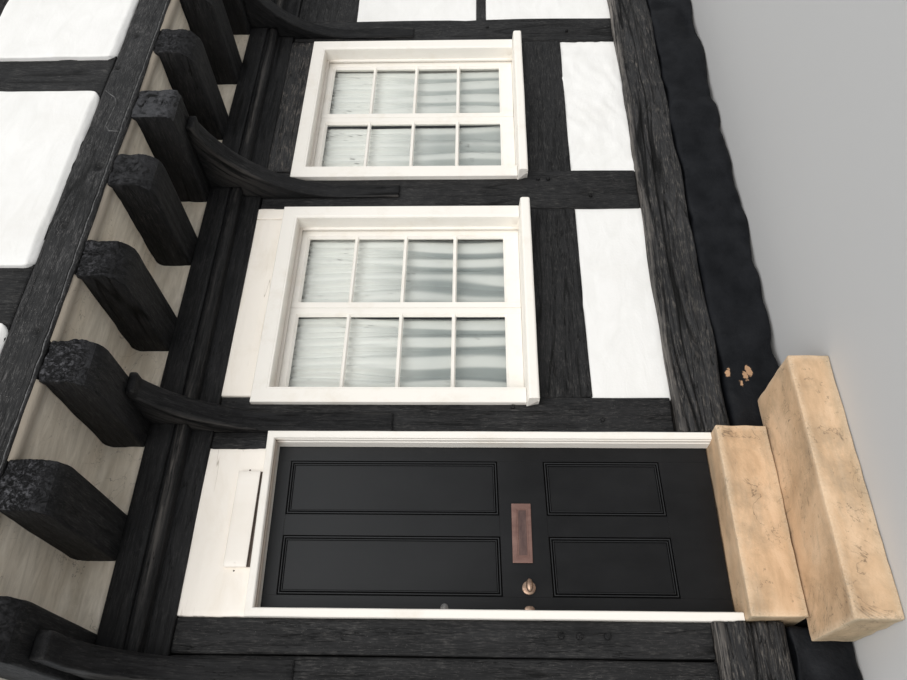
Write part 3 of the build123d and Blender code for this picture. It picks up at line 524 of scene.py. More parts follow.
COVE = 0.045
gaps = bmesh.new()
soffits, infills = solids("jetty_soffit"), solids("joist_infill")
for number, ((low, high), (wall_low, wall_high)) in enumerate(zip(soffits, infills)):
    bay = bmesh.new()
    cove = [(wall_low.y - COVE * (1 - math.sin(a)), low.z - COVE * (1 - math.cos(a)))
            for a in (math.radians(15 * step) for step in range(7))]
    outline = [(low.y + 0.030, low.z)] + cove + [(wall_low.y, wall_low.z), (wall_high.y, wall_low.z),
                                                 (wall_high.y, wall_high.z), (low.y + 0.004, high.z)]
    drawn_along(bay, outline, low.x - 0.012, high.x - low.x + 0.024)
    for axis, start, step, cuts in ((0, low.x, 0.02, 17), (1, low.y, 0.04, 16), (2, wall_low.z, 0.03, 5)):
        for cut in range(1, cuts + 1):
            cut_across(bay, axis, start + step * cut)
    bay.normal_update()
    # Near the jetty beam the plaster is painted darker: painted shade over the strip along the beam that the
    # light catches.
    beam_edge_shade = bay.verts.layers.float.new("beam_edge_shade")
    for v in bay.verts:
        v[beam_edge_shade] = clamped(1 - (v.co.y - low.y - 0.03) / 0.06)
        place = Vector((v.co.x * 4, v.co.y * 9, v.co.z * 9 + number))
        v.co += v.normal * (0.006 * noise.noise(place) + 0.002 * noise.noise(place * 4))
    add_to(gaps, bay)
piece("soffit_and_infill", gaps, stands_for=["jetty_soffit", "joist_infill"],
      finish=[soffit_finish])

# Jetty beam: the long oak that rides on the joist ends and carries the upper posts, with a few old knot
# holes and a lighter line along its lower street arris, which is a painted highlight.


def dented(form, marks):
    """Presses soft round hollows into a surface, noted as "cut": each is a place, a radius and a depth. The
    finish paints the hollows dark, as painted shade.
    """
    cut = form.verts.layers.float["cut"]
    form.normal_update()
    for v in form.verts:
        for place, radius, depth in marks:
            near = (v.co - place).length / radius
            if near < 2.2:
                hollow = math.exp(-near * near)
                v.co -= v.normal * depth * hollow
                v[cut] = max(v[cut], hollow)


beam_low, beam_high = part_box("jetty_beam")
beam = squared(beam_low, beam_high, (0.022, 0.04, 0.0085), 0.013, segments=3)
hand_worked(beam, 0, bow=0.007, adze=0.006, ridge=0.0026, splits=0.006, seed=120)
knots = [(-2.31, 0.10, 0.010, 0.020), (-1.62, 0.06, 0.007, 0.014), (-1.05, 0.115, 0.012, 0.016),
         (-0.674, 0.058, 0.012, 0.026), (0.058, 0.155, 0.006, 0.016), (0.33, 0.12, 0.010, 0.014),
         (1.02, 0.05, 0.012, 0.016), (2.02, 0.1, 0.009, 0.016)]
dented(beam, [(Vector((x, beam_low.y, beam_low.z + up)), 0.014 + r, d) for x, up, r, d in knots])
beam_face = BVHTree.FromBMesh(beam)
piece("old_jetty_beam", beam, stands_for=["jetty_beam"],
      finish=[black_oak("black_oak_beam", 0, worn=1.8, shine=0.3, bare=(0.118, 0.113, 0.111), fibres=290,
                        wavy=0.3)])

# Seams on the jetty beam: thick drawn lines of stopping and paint, one along the foot of its face and one
# round a piece that was let into the oak, each a pale bead beside a thin black line. The pale bead along the
# foot is a painted highlight on the lower arris; round the let-in piece it is stopping, paler than the wood.


def seam(whole, path, radius):
    """Lays a bead of stopping along a path on a wall that faces the street."""
    bead = bmesh.new()
    rings = []
    for number, place in enumerate(path):
        ahead = path[min(number + 1, len(path) - 1)] - path[max(number - 1, 0)]
        across = Vector((-ahead.z, 0, ahead.x)).normalized()
        wobble = radius * (1 + 0.5 * noise.noise(place * 31))
        ring = []
        for turn in (0, math.pi / 3, 2 * math.pi / 3, math.pi, 3 * math.pi / 2):
            out = Vector((0, -wobble * math.sin(turn), 0))
            ring.append(bead.verts.new(place + across * wobble * math.cos(turn) + out))
        rings.append(ring)
    for back, front in zip(rings, rings[1:]):
        for k in range(5):
            bead.faces.new((back[k], back[(k + 1) % 5], front[(k + 1) % 5], front[k]))
    bead.faces.new(rings[0])
    bead.faces.new(rings[-1])
    bmesh.ops.recalc_face_normals(bead, faces=bead.faces)
    add_to(whole, bead)


def traced(corners, step=0.012, shake=0.002):
    """Points along a line of (x, z) corners, a little shaky, on the worked face of the jetty beam."""
    points = []
    for (x0, z0), (x1, z1) in zip(corners, corners[1:]):
        count = max(1, round(math.hypot(x1 - x0, z1 - z0) / step))
        points += [(x0 + (x1 - x0) * n / count, z0 + (z1 - z0) * n / count) for n in range(count)]
    points.append(corners[-1])
    path = []
    for x, z in points:
        place = Vector((x + shake * noise.noise(Vector((x * 17, z * 17, 3))), beam_low.y - 0.2,
                        z + shake * noise.noise(Vector((z * 17, x * 17, 8)))))
        path.append(beam_face.ray_cast(place, Vector((0, 1, 0)))[0])
    return path


# A pale bead: a painted highlight along the foot of the beam, and stopping round the let-in piece.
stopping_and_highlight = Finish("stopping_and_painted_highlight", roughness=0.65)
smeared = stopping_and_highlight.noise(60, detail=4)
stopping_and_highlight.paint(smeared, (0.35, (0.040, 0.040, 0.041)), (0.65, 0.15))
pitch = Finish("black_stopping", roughness=0.6)
pitch.paint(pitch.noise(60, detail=4), (0.35, 0.002), (0.65, 0.006))
foot = beam_low.z
let_in = [(-0.135, beam_high.z - 0.020), (-0.185, foot + 0.108), (-0.225, foot + 0.088),
          (-0.395, foot + 0.098), (-0.435, foot + 0.070), (-0.440, foot + 0.020)]
beam_ends = (beam_low.x + 0.02, beam_high.x - 0.02)
for name, lift, radius, made_of in (("beam_seams", 0, 0.0034, stopping_and_highlight),
                                    ("beam_seam_lines", 0.0078, 0.0030, pitch)):
    seams = bmesh.new()
    along = [(x, foot + 0.013 + lift) for x in beam_ends]
    seam(seams, traced(along, step=0.02, shake=0.004), radius)
    seam(seams, traced([(x + 0.8 * lift, z + 0.6 * lift) for x, z in let_in]), 0.8 * radius)
    piece(name, seams, finish=[made_of])

# Rear girding beam: a squared and painted oak that runs over the back posts and carries the upper floor
# at the back of the house, where nothing oversails.
girding_low, girding_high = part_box("rear_girding_beam")
girding = squared(girding_low, girding_high, (0.09, 0.06, 0.03), 0.010)
hand_worked(girding, 0, seed=130)
piece("old_girding_beam", girding, stands_for=["rear_girding_beam"], finish=[oak_level])

# Curved brackets, sawn from bent boughs: they rise from the face of a street post, pass the moulded plate
# and end in a blunt tip under a joist.
BRACKET_TOE = 0.013
bracket_curves = [(2.560, 0.465), (2.450, 0.704), (2.300, 0.800), (2.400, 0.700), (2.560, 0.465)]


def sliced(form, step, axes=(0, 2)):
    """Cuts a form into cells of about the given size with planes across the given axes."""
    for axis in axes:
        places = [v.co[axis] for v in form.verts]
        start, run = min(places), max(places) - min(places)
        cells = round(run / step)
        for cut in range(1, cells):
            cut_across(form, axis, start + cut * run / cells)


def parted(form):
    """Takes a form of several solids apart, from left to right."""
    found = []
    while form.verts:
        form.verts.ensure_lookup_table()
        reached, island = {form.verts[0]}, {form.verts[0]}
        while reached:
            reached = {edge.other_vert(v) for v in reached for edge in v.link_edges} - island
            island |= reached
        alone = form.copy()
        kept = {v.index for v in island}
        alone.verts.ensure_lookup_table()
        bmesh.ops.delete(alone, geom=[v for v in alone.verts if v.index not in kept], context="VERTS")
        bmesh.ops.delete(form, geom=list(island), context="VERTS")
        found.append(alone)
    return sorted(found, key=lambda part: min(v.co.x for v in part.verts))


brackets = bmesh.new()
for number, (bough, (spring, radius)) in enumerate(zip(parted(cad_form("jetty_brackets")), bracket_curves)):
    arrises = [e for e in bough.edges if e.calc_face_angle(0) > 0.5]
    eased(bough, arrises, 0.007)
    for axis, step in ((0, 0.0165), (1, 0.03), (2, 0.03)):
        sliced(bough, step, axes=(axis,))
    hand_worked(bough, 2, bow=0.006, adze=0.004, splits=0, seed=140 + number)
    layer = bough.verts.layers.float_vector.new("grain_place")
    bough_pale_sides = bough.verts.layers.float.new("wear_and_highlight")
    left_x, right_x = min(v.co.x for v in bough.verts), max(v.co.x for v in bough.verts)
    centre_y = wall_front - BRACKET_TOE - radius
    for v in bough.verts:
        turn = max(0, math.atan2(v.co.z - spring, v.co.y - centre_y))
        out = math.hypot(v.co.y - centre_y, v.co.z - spring) if turn else v.co.y - centre_y
        v[layer] = Vector((v.co.x, out, (spring + radius * turn) if turn else v.co.z))
        # Paler in streaks along the side arrises.
        near_side = max(0, 1 - min(v.co.x - left_x, right_x - v.co.x) / 0.018)
        v[bough_pale_sides] = near_side * max(0, 0.10 + 0.45 * noise.noise(v.co * 2.6))
    add_to(brackets, bough)
piece("old_brackets", brackets, stands_for=["jetty_brackets"],
      finish=[black_oak("black_oak_bent", 2, worn=0.4, rough=0.4, shine=0.12, attribute="grain_place")])

# Plaster panels: lime plaster on laths between the timbers, limewashed white. Each is set a little back,
# with soft pillowed edges where the trowel met the oak; the upper ones on the street stand over a backing
# that is painted black.
lime_finish = Finish("lime_plaster", roughness=0.75)
trowel = lime_finish.noise(5, (1.0, 1.0, 2.4), detail=4, roughness=0.55, warp=0.8)
grime = lime_finish.noise(2.1, (1.0, 1.0, 0.5), detail=6, roughness=0.65, shift=(4, 4, 4))
white = lime_finish.ramp(trowel, (0.3, (0.80, 0.795, 0.775)), (0.7, (0.86, 0.855, 0.84)))
lime_finish.set("Base Color", lime_finish.mix(
    lime_finish.ramp(grime, (0.54, 0.0), (0.85, 0.25)), white, (0.66, 0.63, 0.57)))
lime_finish.bump(trowel, 0.008, 0.35)
lime_finish.bump(lime_finish.noise(60, detail=4), 0.0015, 0.5)


def reach(edge, axis):
    """How far an edge runs along one axis."""
    return abs((edge.verts[1].co - edge.verts[0].co)[axis])


def plastered(low, high, corner=0.014, edge=0.012, step=0.04, bumps=0.004, seed=0.0, ragged=0.005):
    """A plaster panel with rounded corners and a pillowed edge, seen from either side."""
    form = bmesh.new()
    place = Matrix.Translation((low + high) / 2) @ Matrix.Diagonal((*(high - low), 1))
    bmesh.ops.create_cube(form, size=1, matrix=place)
    through = [e for e in form.edges if reach(e, 1) > 0.9 * (high.y - low.y)]
    eased(form, through, corner, 4)
    outline = [e for e in form.edges if e.calc_face_angle(0) > 1.2]
    eased(form, outline, edge, 3)
    sliced(form, step)
    form.normal_update()
    middle = (low + high) / 2
    for v in form.verts:
        place = v.co * 3.1 + Vector((seed, 0, seed * 2))
        swell = bumps * noise.noise(place) + 0.4 * bumps * noise.noise(place * 4.3)
        v.co += v.normal * swell
        far = max(abs(v.co.x - middle.x) - (high.x - low.x) / 2 + 0.03,
                  abs(v.co.z - middle.z) - (high.z - low.z) / 2 + 0.03)
        if far > 0:
            wave = ragged * noise.noise(v.co * 7 + Vector((seed, seed, 0)))
            v.co.x += wave * math.copysign(1, v.co.x - middle.x)
            v.co.z += wave * math.copysign(1, v.co.z - middle.z)
    return form


ROUGH_PANEL_X = -0.01
UPPER_PANELS_OVER = 3.4
GROUND_PANELS_UNDER = 2.6
panels = bmesh.new()
backings = bmesh.new()
for number, (low, high) in enumerate(solids("ground_panels") + solids("upper_panels")):
    upper_street = low.z > UPPER_PANELS_OVER and low.y < 0
    ground_street = low.z < GROUND_PANELS_UNDER and low.y < 0
    rough = ground_street and abs(low.x - ROUGH_PANEL_X) < 0.05
    over = Vector((0.002, 0, 0.002)) if upper_street else Vector((0.012, 0, 0.012))
    step, bumps = (0.02, 0.007) if rough else (0.035, 0.004) if low.y < 0 else (0.07, 0.004)
    panel = plastered(low - over, high + over, corner=0.045 if upper_street else 0.014,
                      edge=0.007 if upper_street else 0.010, step=step, bumps=bumps, seed=number * 1.7)
    if upper_street:
        for rise in (0.008, 0.016, 0.024, 0.032):
            cut_across(panel, 2, low.z + rise)
        for v in panel.verts:
            ragged_foot = 0.023 + 0.012 * noise.noise(Vector((v.co.x * 15, 1.5, number)))
            if v.co.y < low.y + 0.02 and v.co.z < low.z + ragged_foot:
                v.co.y += 0.85 * (low.z + ragged_foot - v.co.z)
    if rough:
        for v in panel.verts:
            stroke = noise.noise(Vector((v.co.x * 9, 0, v.co.z * 26 + 4 * math.sin(v.co.x * 5))))
            v.co.y += 0.006 * stroke
    add_to(panels, panel)
    if upper_street:
        back = squared(low + Vector((0, 0.022, 0)), high - Vector((0, 0.022, 0)), (0.2, 0.2, 0.2), 0.004)
        add_to(backings, back)
piece("plaster_panels", panels, stands_for=["ground_panels", "upper_panels"],
      finish=[lime_finish])
piece("panel_backings", backings, finish=[oak_level])

# Boards over the door and the left window: old oak planks under thick cream paint that has cracked along
# the grain and stained. Black oak shows beside the right end of the one over the door. Over the right
# window the board is painted black like the frame.


def cracked_paint(name, pale, stain, roughness=0.55, cracks=1.0):
    """Cream paint on old boards, with short level cracks, stains and brush marks."""
    finish = Finish(name, roughness=roughness)
    brush = finish.noise(30, (0.08, 1, 1), detail=5, roughness=0.6)
    patches = finish.noise(4.5, (0.6, 1, 1.4), detail=7, roughness=0.7, warp=0.5)
    split = finish.noise(9, (0.07, 1, 1), detail=3, roughness=0.5, warp=0.15, shift=(1, 2, 3))
    line = finish.lines(split, 0.0035, cracks)
    broken = finish.ramp(finish.noise(7, (0.5, 1, 2), detail=3, shift=(8, 1, 5)), (0.52, 0.0), (0.62, 1.0))
    line = finish.times(line, broken)
    colour = finish.mix(finish.ramp(patches, (0.48, 0.0), (0.80, 0.75)), pale, stain)
    colour = finish.mix(line, colour, (0.40, 0.33, 0.26))
    finish.set("Base Color", colour)
    finish.bump(patches, 0.004, 0.4)
    finish.bump(brush, 0.0016, 0.5)
    finish.sink(line, 0.002, 0.5)
    return finish


board_paint = cracked_paint("cracked_board_paint", (0.97, 0.91, 0.83), (0.84, 0.76, 0.65), cracks=0.8)
second_board_paint = cracked_paint("stained_board_paint", (0.97, 0.91, 0.825), (0.82, 0.74, 0.62), cracks=0.8)
door_low, door_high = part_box("door_frame")
DOOR_RISE = 0.022
door_rise_slope = DOOR_RISE / (door_high.x - door_low.x)


def use_finish(form, number):
    """Gives all the faces of a form one of its piece's finishes, counted from 0."""
    for face in form.faces:
        face.material_index = number


OAK_BESIDE_BOARD = 0.088
BOARD_END_PIECE = 0.080
WORN_CORNER = 0.028
head_boards = bmesh.new()
for number, (low, high) in enumerate(solids("white_head_boards")):
    over_door = number == 0
    if over_door:
        low = low + Vector((0, 0, -0.004))
    high = high + Vector((0, 0, 0.012))
    board_end = high.x - (OAK_BESIDE_BOARD if over_door else BOARD_END_PIECE)
    board = squared(low, Vector((board_end, high.y, high.z)), (0.02, 0.06, 0.012), 0.006)
    if not over_door:
        add_to(board, squared(Vector((board_end + 0.003, low.y, low.z)), high, (0.012, 0.06, 0.012), 0.005))
        for v in board.verts:
            right, up = v.co.x - (high.x - WORN_CORNER), v.co.z - (high.z - WORN_CORNER)
            past = math.hypot(right, up) / WORN_CORNER
            if right > 0 and up > 0 and past > 1:
                v.co.x += right * (1 / past - 1)
                v.co.z += up * (1 / past - 1)
            share = max(0, (v.co.z - low.z) / (high.z - low.z))
            v.co.z += 0.007 * noise.noise(Vector((v.co.x * 11, 5, 0))) * share
    hand_worked(board, 0, bow=0.004, adze=0.005, ridge=0.0022, seed=160 + number)
    use_finish(board, 0 if over_door else 1)
    if over_door:
        oak = squared(Vector((board_end + 0.001, low.y + 0.005, low.z)), high, (0.02, 0.06, 0.02), 0.003)
        hand_worked(oak, 2, bow=0.0, adze=0.003, seed=163)
        use_finish(oak, 2)
        add_to(board, oak)
        for v in board.verts:
            share = clamped((high.z - v.co.z) / (high.z - low.z))
            v.co.z += (v.co.x - low.x) * door_rise_slope * share
    add_to(head_boards, board)
piece("old_white_head_boards", head_boards, stands_for=["white_head_boards"],
      finish=[board_paint, second_board_paint, oak_upright])

low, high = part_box("dark_head_board")
dark_board = squared(low, high + Vector((0, 0, 0.01)), (0.022, 0.06, 0.014), 0.006)
hand_worked(dark_board, 0, seed=170)
piece("old_dark_head_board", dark_board, stands_for=["dark_head_board"],
      finish=[black_oak("black_oak_board", 0, worn=1.7, shine=0.3, bare=(0.17, 0.150, 0.130), dust=1.6)])

# Name plate: a bevelled board screwed under the head board, painted white and left without lettering, with
# the filled heads of its fixings at both ends.
plate_paint = Finish("plate_paint", roughness=0.35)
drips = plate_paint.noise(8, (1, 1, 0.3), detail=4)
plate_paint.paint(drips, (0.35, (0.95, 0.90, 0.83)), (0.7, (0.90, 0.84, 0.76)))
plate_paint.bump(plate_paint.noise(40, (0.2, 1, 1), detail=3), 0.0008, 0.5)
low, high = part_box("name_plate")
low = low + Vector((0, -0.003, 0.003))
sign = squared(low, high, (0.03, 0.02, 0.02), 0.006, segments=2)
sign.normal_update()
# The underside of the plate takes the dark finish: painted shade.
for face in sign.faces:
    face.material_index = 1 if face.normal.z < -0.6 else 0
# A dark strip on the board under the plate's foot is a painted shadow; the two dark dots past the plate's
# ends are old fixing holes.
shadow_strip_and_holes = squared(Vector((low.x + 0.004, high.y - 0.009, low.z - 0.014)),
               Vector((high.x, high.y, low.z + 0.003)), (0.03, 0.02, 0.02), 0.002)
for x in (low.x - 0.012, high.x + 0.010):
    bmesh.ops.create_uvsphere(shadow_strip_and_holes, u_segments=10, v_segments=6, radius=0.0045,
                              matrix=Matrix.Translation((x, high.y, (low.z + high.z) / 2 + 0.006)))
use_finish(shadow_strip_and_holes, 1)
add_to(sign, shadow_strip_and_holes)
for v in sign.verts:
    v.co.z += (v.co.x - (low.x + high.x) / 2) * 0.008
for x in (low.x + 0.014, high.x - 0.014):
    fixing = bmesh.new()
    bmesh.ops.create_uvsphere(fixing, u_segments=12, v_segments=8, radius=0.006,
                              matrix=Matrix.Translation((x, low.y + 0.001, (low.z + high.z) / 2))
                              @ Matrix.Diagonal((1, 0.4, 1, 1)))
    add_to(sign, fixing)
# Dark brown, for the painted shadow under the plate and for the old fixing holes.
shadow_dirt = Finish("shadow_dirt", roughness=0.9)
shadow_dirt.paint(shadow_dirt.noise(50), (0.35, (0.06, 0.045, 0.035)), (0.65, (0.13, 0.10, 0.08)))
piece("bare_name_plate", sign, stands_for=["name_plate"],
      finish=[plate_paint, shadow_dirt])

# Door frame: softwood jambs and a leaning head nailed to the posts, painted white, with a flat outer band and
# stepped fillets down to the stop that the leaf shuts against.
white_paint = Finish("white_joinery_paint", roughness=0.38)
marks = white_paint.noise(6, detail=6, roughness=0.7)
strokes = white_paint.noise(45, (1, 1, 0.12), detail=4)
joinery_white = white_paint.mix(white_paint.ramp(marks, (0.52, 0.0), (0.85, 0.5)), (0.90, 0.865, 0.805),
                                (0.70, 0.62, 0.50))
# Brown painted shade where the vertices note it: in reveals under the heads and over the sills.
joinery_white = white_paint.mix(white_paint.noted("reveal_shade"), joinery_white, (0.36, 0.27, 0.20))
white_paint.set("Base Color", joinery_white)
white_paint.bump(strokes, 0.0008, 0.5)
white_paint.bump(marks, 0.002, 0.25)


def surround(outline, x_span, z_span, closed=False, step=0.05):
    """Runs an outline of (outward offset, depth) points up, over and down an opening with mitred corners."""
    form = bmesh.new()
    (x0, x1), (z0, z1) = x_span, z_span
    corners = [(x0, z0, -1, -1), (x0, z1, -1, 1), (x1, z1, 1, 1), (x1, z0, 1, -1)]

    def placed(corner, offset, y):
        x, z, way_x, way_z = corner
        return Vector((x + way_x * offset, y, z + (way_z * offset if closed or z == z1 else 0)))

    ring = {form.verts.new(placed(corners[0], *point)): point for point in outline}
    verts = list(ring)
    first = [form.edges.new(pair) for pair in zip(verts, verts[1:] + verts[:1])]
    edges = first
    for corner in corners[1:]:
        grown = bmesh.ops.extrude_edge_only(form, edges=edges)["geom"]
        edges = [g for g in grown if isinstance(g, bmesh.types.BMEdge)]
        fresh = {}
        for v in (g for g in grown if isinstance(g, bmesh.types.BMVert)):
            point = next(point for old, point in ring.items() if (old.co - v.co).length < 1e-7)
            fresh[v] = point
        for v, point in fresh.items():
            v.co = placed(corner, *point)
        ring = fresh
    if closed:
        bmesh.ops.bridge_loops(form, edges=first + edges)
    else:
        bmesh.ops.holes_fill(form, edges=first + edges)
    bmesh.ops.recalc_face_normals(form, faces=form.faces)
    for axis in (0, 2):
        along = [e for e in form.edges if reach(e, axis) > max(3 * step, 0.8 * e.calc_length())]
        if along:
            length = max(e.calc_length() for e in along)
            bmesh.ops.subdivide_edges(form, edges=along, cuts=max(1, round(length / step) - 1))
    return form


def leaned(form, foot, height):
    """Raises a form towards the hinge side, as the frame has leaned, fully from a little above its foot."""
    for v in form.verts:
        share = clamped((v.co.z - foot) / height)
        v.co.z += (v.co.x - door_low.x) * door_rise_slope * share


OUTER_BAND = 0.042
leaf_low, leaf_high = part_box("front_door")
LATCH_GAP = 0.007
DOOR_REBATE = 0.010
opening_x = (door_low.x + OUTER_BAND, door_high.x - OUTER_BAND)
HEAD_Z = 2.464
front, stop_y = door_low.y, leaf_low.y - 0.005
rebate = DOOR_REBATE + LATCH_GAP
frame_outline = [(OUTER_BAND, front + 0.004), (OUTER_BAND - 0.004, front), (0.010, front),
                 (0.006, front + 0.004), (0.006, front + 0.016), (0.003, front + 0.018),
                 (0.003, front + 0.040), (0.0, front + 0.042), (0.0, stop_y), (rebate, stop_y),
                 (rebate, door_high.y), (OUTER_BAND, door_high.y)]
surrounding = surround(frame_outline, opening_x, (door_low.z, HEAD_Z))
# Brown in the rebate under the head: painted shade, with some dirt.
reveal_shade = surrounding.verts.layers.float.new("reveal_shade")
for v in surrounding.verts:
    in_rebate = front + 0.017 < v.co.y < front + 0.045
    v[reveal_shade] = 0.75 if in_rebate and v.co.z > HEAD_Z - 0.001 else 0.0
leaned(surrounding, door_low.z, 1.2)
surrounding.normal_update()
for v in surrounding.verts:
    v.co += v.normal * 0.0012 * noise.noise(v.co * 6)
piece("painted_door_frame", surrounding, stands_for=["door_frame"],
      finish=[white_paint], smooth=False)

# Front door: a four panelled leaf of painted softwood. The panels lie almost flush, each inside a double
# line of beads, and the rails lean with the frame. Years of repainting have softened every edge.
door_paint = Finish("satin_door_paint", roughness=0.34, shine=0.20)
dust = door_paint.noise(3.2, (1, 1, 0.6), detail=7, roughness=0.7)
brushed = door_paint.noise(55, (1, 1, 0.07), detail=4)
# The upper part of the leaf is painted paler: a painted reflection of the sky, fading towards the foot.
below_head = door_paint.times(door_paint.far((0, 0, 2.5), (0, 0, 1)), 0.5)
painted_sky_reflection = door_paint.ramp(below_head, (0.12, 1.0), (0.60, 0.0))
paint = door_paint.ramp(dust, (0.35, (0.006, 0.0062, 0.0068)), (0.75, (0.013, 0.0134, 0.0145)))
paint = door_paint.mix(painted_sky_reflection, paint, (0.0265, 0.0275, 0.0290))
# Paler on the bead tops: a painted highlight.
door_paint.set("Base Color", door_paint.mix(door_paint.noted("wear_and_highlight"), paint, (0.055, 0.057, 0.060)))
door_paint.set("Roughness", door_paint.ramp(dust, (0.35, 0.38), (0.75, 0.52)))
door_paint.bump(brushed, 0.0008, 0.6)
STILE = 0.080
MUNTIN = 0.098
TOP_RAIL = 0.072
BOTTOM_RAIL = 0.215
LOCK_RAIL = (1.190, 1.408)
PANEL_SINK = 0.006
BEAD_BAND = 0.018
LEAF_TOP = 2.474
foot_z = leaf_low.z
panel_w = (leaf_high.x - leaf_low.x - 2 * STILE - MUNTIN) / 2
panel_spans = [(leaf_low.x + STILE, leaf_low.x + STILE + panel_w),
               (leaf_high.x - STILE - panel_w, leaf_high.x - STILE)]
panel_heights = [(foot_z + BOTTOM_RAIL, LOCK_RAIL[0]), (LOCK_RAIL[1], LEAF_TOP - TOP_RAIL)]


def boarded(form, x_span, y_span, z_span, soft=0.0015, steps=(0.2, 0.2, 0.1)):
    """Adds a planed board with softened arrises."""
    low = Vector((x_span[0], y_span[0], z_span[0]))
    add_to(form, squared(low, Vector((x_span[1], y_span[1], z_span[1])), steps, soft))


leaf = bmesh.new()
y_span = (leaf_low.y, leaf_high.y)
panel_y = (leaf_low.y + PANEL_SINK, leaf_high.y - PANEL_SINK)
boarded(leaf, (leaf_low.x, panel_spans[0][0]), y_span, (foot_z, LEAF_TOP))
boarded(leaf, (panel_spans[1][1], leaf_high.x), y_span, (foot_z, LEAF_TOP))
inside = (panel_spans[0][0], panel_spans[1][1])
rail_spans = [(foot_z, panel_heights[0][0]), LOCK_RAIL, (panel_heights[1][1], LEAF_TOP)]
for heights in rail_spans:
    boarded(leaf, inside, y_span, heights, steps=(0.05, 0.2, 0.2))
for heights in panel_heights:
    boarded(leaf, (panel_spans[0][1], panel_spans[1][0]), y_span, heights)
    for span in panel_spans:
        boarded(leaf, span, panel_y, heights, steps=(0.05, 0.2, 0.1))
        for face_y, out in ((leaf_low.y, -1), (leaf_high.y, 1)):
            inner_x = (span[0] + BEAD_BAND, span[1] - BEAD_BAND)
            inner_z = (heights[0] + BEAD_BAND, heights[1] - BEAD_BAND)
            deep, low_y, top_y = face_y - out * 0.008, face_y - out * 0.0045, face_y + out * 0.0003
            wide = [(0.0125, deep), (0.0122, low_y), (0.0108, top_y), (0.0080, top_y), (0.0062, low_y),
                    (0.0058, deep)]
            slim = [(0.0010, deep), (0.0006, low_y), (-0.0006, top_y), (-0.0024, top_y),
                    (-0.0040, low_y), (-0.0044, deep)]
            groove_y = face_y - out * (PANEL_SINK - 0.0004)
            grooves = [(0.0179, deep), (0.0179, groove_y), (-0.0062, groove_y), (-0.0062, deep)]
            # The groove floors round the beads take the near black finish: painted shade in the grooves.
            for outline in (grooves, wide, slim):
                bead = surround(outline, inner_x, inner_z, closed=True, step=0.1)
                use_finish(bead, 1 if outline is grooves else 0)
                # The tops of the beads are noted for a painted highlight.
                bead_highlight = bead.verts.layers.float.new("wear_and_highlight")
                for v in bead.verts:
                    v[bead_highlight] = 0.5 if abs(v.co.y - top_y) < 1e-4 else 0.0
                add_to(leaf, bead)
leaned(leaf, foot_z, BOTTOM_RAIL)
# Near black: painted shade in the grooves.
groove_shade = Finish("groove_shade", roughness=0.9, shine=0.05)
groove_shade.paint(groove_shade.noise(40), (0.35, 0.001), (0.65, 0.004))
piece("painted_front_door", leaf, body="door", stands_for=["front_door"],
      finish=[door_paint, groove_shade], smooth=False)

# Letter plate: a cast plate with a raised border and a flap hung in its middle, pinkish brown where the
# lacquer has gone.
letter_metal = Finish("letter_plate_bronze", roughness=0.42, metallic=0.55)
rub = letter_metal.noise(22, (1, 1, 0.4), detail=6, roughness=0.7)
letter_metal.paint(rub, (0.3, (0.16, 0.085, 0.070)), (0.7, (0.27, 0.165, 0.138)))
letter_metal.set("Roughness", letter_metal.ramp(rub, (0.3, 0.36), (0.7, 0.55)))
letter_metal.bump(rub, 0.0006, 0.5)


def rod(centre, radius, length, segments=20):
    """A round rod that lies along x."""
    form = bmesh.new()
    place = Matrix.Translation(centre) @ Matrix.Rotation(math.radians(90), 4, "Y")
    bmesh.ops.create_cone(form, cap_ends=True, segments=segments, radius1=radius, radius2=radius,
                          depth=length, matrix=place)
    return form


low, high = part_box("letter_plate")
middle = (low + high) / 2
letter = squared(low, high, (0.05, 0.05, 0.05), 0.0028)
flap_x, flap_z = (low.x + 0.032, high.x - 0.032), (low.z + 0.022, high.z - 0.022)
ridge = [(0.006, low.y + 0.001), (0.005, low.y - 0.0022), (0.001, low.y - 0.0022), (0.0, low.y + 0.001)]
add_to(letter, surround(ridge, flap_x, flap_z, closed=True, step=0.1))
add_to(letter, rod((middle.x, low.y - 0.0006, flap_z[1] - 0.004), 0.003, flap_x[1] - flap_x[0] - 0.004, 12))
piece("bronze_letter_plate", letter, body="door", stands_for=["letter_plate"],
      finish=[letter_metal], smooth=False)
flap_metal = Finish("letter_flap_bronze", roughness=0.5, metallic=0.4)
wiped = flap_metal.noise(9, (1, 1, 3), detail=6, roughness=0.7)
flap_metal.paint(wiped, (0.35, (0.075, 0.045, 0.042)), (0.7, (0.17, 0.105, 0.09)))
flap_metal.bump(wiped, 0.0005, 0.5)
flap = squared(Vector((flap_x[0] + 0.002, low.y - 0.0016, flap_z[0] + 0.002)),
               Vector((flap_x[1] - 0.002, low.y + 0.002, flap_z[1] - 0.009)), (0.05, 0.05, 0.02), 0.001)
piece("letter_flap", flap, body="door", finish=[flap_metal], smooth=False)

# Knob, roses, keyhole cover and lock: a worn bronze knob with an egg-shaped head on a stepped round rose,
# an oval cover over the old keyhole and the grey metal face of a later lock.
knob_metal = Finish("worn_bronze", roughness=0.38, metallic=0.85)
tarnish = knob_metal.noise(38, detail=6, roughness=0.7)
knob_metal.paint(tarnish, (0.35, (0.235, 0.155, 0.115)), (0.7, (0.60, 0.43, 0.32)))
knob_metal.set("Roughness", knob_metal.ramp(tarnish, (0.35, 0.5), (0.7, 0.3)))


